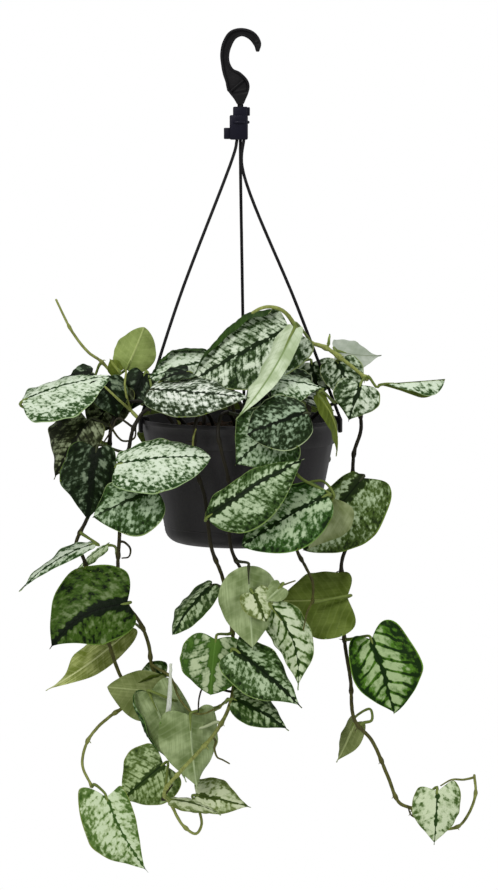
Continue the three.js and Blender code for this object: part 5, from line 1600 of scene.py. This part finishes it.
def makeCrumbs():
    # peat lumps and bark chips that lie on the soil
    draw = random.Random(5)
    build = Build()
    for _ in range(soilShape["crumbs"]):
        r = soilShape["crumbReach"] * math.sqrt(draw.random())
        a = draw.uniform(0, 2 * math.pi)
        size = mixed(*soilShape["crumbSize"], draw.random() ** 2)
        spot = Vector((r * math.cos(a), r * math.sin(a), 0))
        spot.z = soilHeight(spot.x, spot.y) + size * 0.2
        sides = Vector([draw.uniform(*span) for span in soilShape["crumbSides"]])
        spin = draw.uniform(0, math.pi)
        rings = []
        for level in (-0.8, -0.3, 0.3, 0.8):
            ring = []
            for b in around(6):
                wide = math.sqrt(1 - level * level) * draw.uniform(*soilShape["crumbRough"])
                x, y = wide * math.cos(b) * sides.x, wide * math.sin(b) * sides.y
                ring.append(spot + size * Vector((x * math.cos(spin) - y * math.sin(spin),
                                                  x * math.sin(spin) + y * math.cos(spin),
                                                  level * sides.z)))
            rings.append(ring)
        ringStack(build, rings)
    piece = build.make("soilCrumbs", [soilLook], sharpAt=70)
    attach(piece, "hanging_pot")


soilLook = soilMaterial()
makeSoil()
makeCrumbs()
print("pot and soil made")

# floor, lights and camera, all in metres
stageShape = {"floorHeight": -1.5, "floorSize": 3.0, "backdrop": 1.0, "roomLight": 0.34,
              "floorTints": ((236, 236, 234), (244, 244, 242))}
lights = {  # place, size across, power, colour
    "keyLight": ((-1.2, -2.1, 1.2), 1.1, 30, (1.0, 0.99, 0.97)),
    "fillLight": ((1.8, -1.7, 0.2), 1.4, 10, (0.96, 0.98, 1.0)),
    "topLight": ((0.1, 0.3, 1.9), 1.2, 13, (1.0, 1.0, 1.0)),
}
lightTarget = (0, 0, -0.33)
cameraShape = {"place": (0.0064, -2.5, -0.0725), "target": (0.0064, 0.0, -0.3045),
               "lens": 135.4, "sensor": 36, "clip": (0.05, 30)}


def aimed(name, what, place, target):
    # puts a lamp or a camera in the scene, turned to its target
    holder = bpy.data.objects.new(name, what)
    holder.location = place
    holder.rotation_euler = (Vector(target) - Vector(place)).to_track_quat("-Z", "Y").to_euler()
    bpy.context.scene.collection.objects.link(holder)
    return holder


def makeFloor():
    build = Build()
    size, height = stageShape["floorSize"] / mm, stageShape["floorHeight"] / mm
    rings = [[(r * size * math.cos(a), r * size * math.sin(a), height) for a in around(64)]
             for r in (0.25, 0.5, 0.75, 1.0)]
    ringStack(build, rings, closeHigh=False)
    material, tree, shader = newMaterial("paleFloor", 0.8, 0.2)
    spot = node(tree, "ShaderNodeTexCoord").outputs["Object"]
    first, second = [tint(*tone) for tone in stageShape["floorTints"]]
    cloud = grain(tree, spot, 2.0, 3.0)
    feed(tree, shader.inputs["Base Color"], blendTint(tree, cloud, first, second))
    floor = build.make("floor", [material])


def makeLights():
    for name, (place, size, power, colour) in lights.items():
        lamp = bpy.data.lights.new(name, "AREA")
        lamp.shape = "DISK"
        lamp.size = size
        lamp.energy = power
        lamp.color = colour
        aimed(name, lamp, place, lightTarget)


def makeWorld():
    # a white backdrop behind the plant, and dimmer light from all round
    world = bpy.data.worlds.new("studio")
    world.use_nodes = True
    tree = world.node_tree
    room = tree.nodes["Background"]
    backdrop = node(tree, "ShaderNodeBackground")
    for background, strength in ((room, "roomLight"), (backdrop, "backdrop")):
        background.inputs["Color"].default_value = (1, 1, 1, 1)
        background.inputs["Strength"].default_value = stageShape[strength]
    both = node(tree, "ShaderNodeMixShader")
    feed(tree, both.inputs[0], node(tree, "ShaderNodeLightPath").outputs["Is Camera Ray"])
    feed(tree, both.inputs[1], room.outputs[0])
    feed(tree, both.inputs[2], backdrop.outputs[0])
    feed(tree, tree.nodes["World Output"].inputs["Surface"], both.outputs[0])
    bpy.context.scene.world = world
    bpy.context.scene.view_settings.view_transform = "Standard"


def makeCamera():
    shape = cameraShape
    lens = bpy.data.cameras.new("camera")
    lens.lens = shape["lens"]
    lens.sensor_width = shape["sensor"]
    lens.clip_start, lens.clip_end = shape["clip"]
    bpy.context.scene.camera = aimed("camera", lens, shape["place"], shape["target"])


makeFloor()
makeLights()
makeWorld()
makeCamera()
print("stage, lights and camera made")
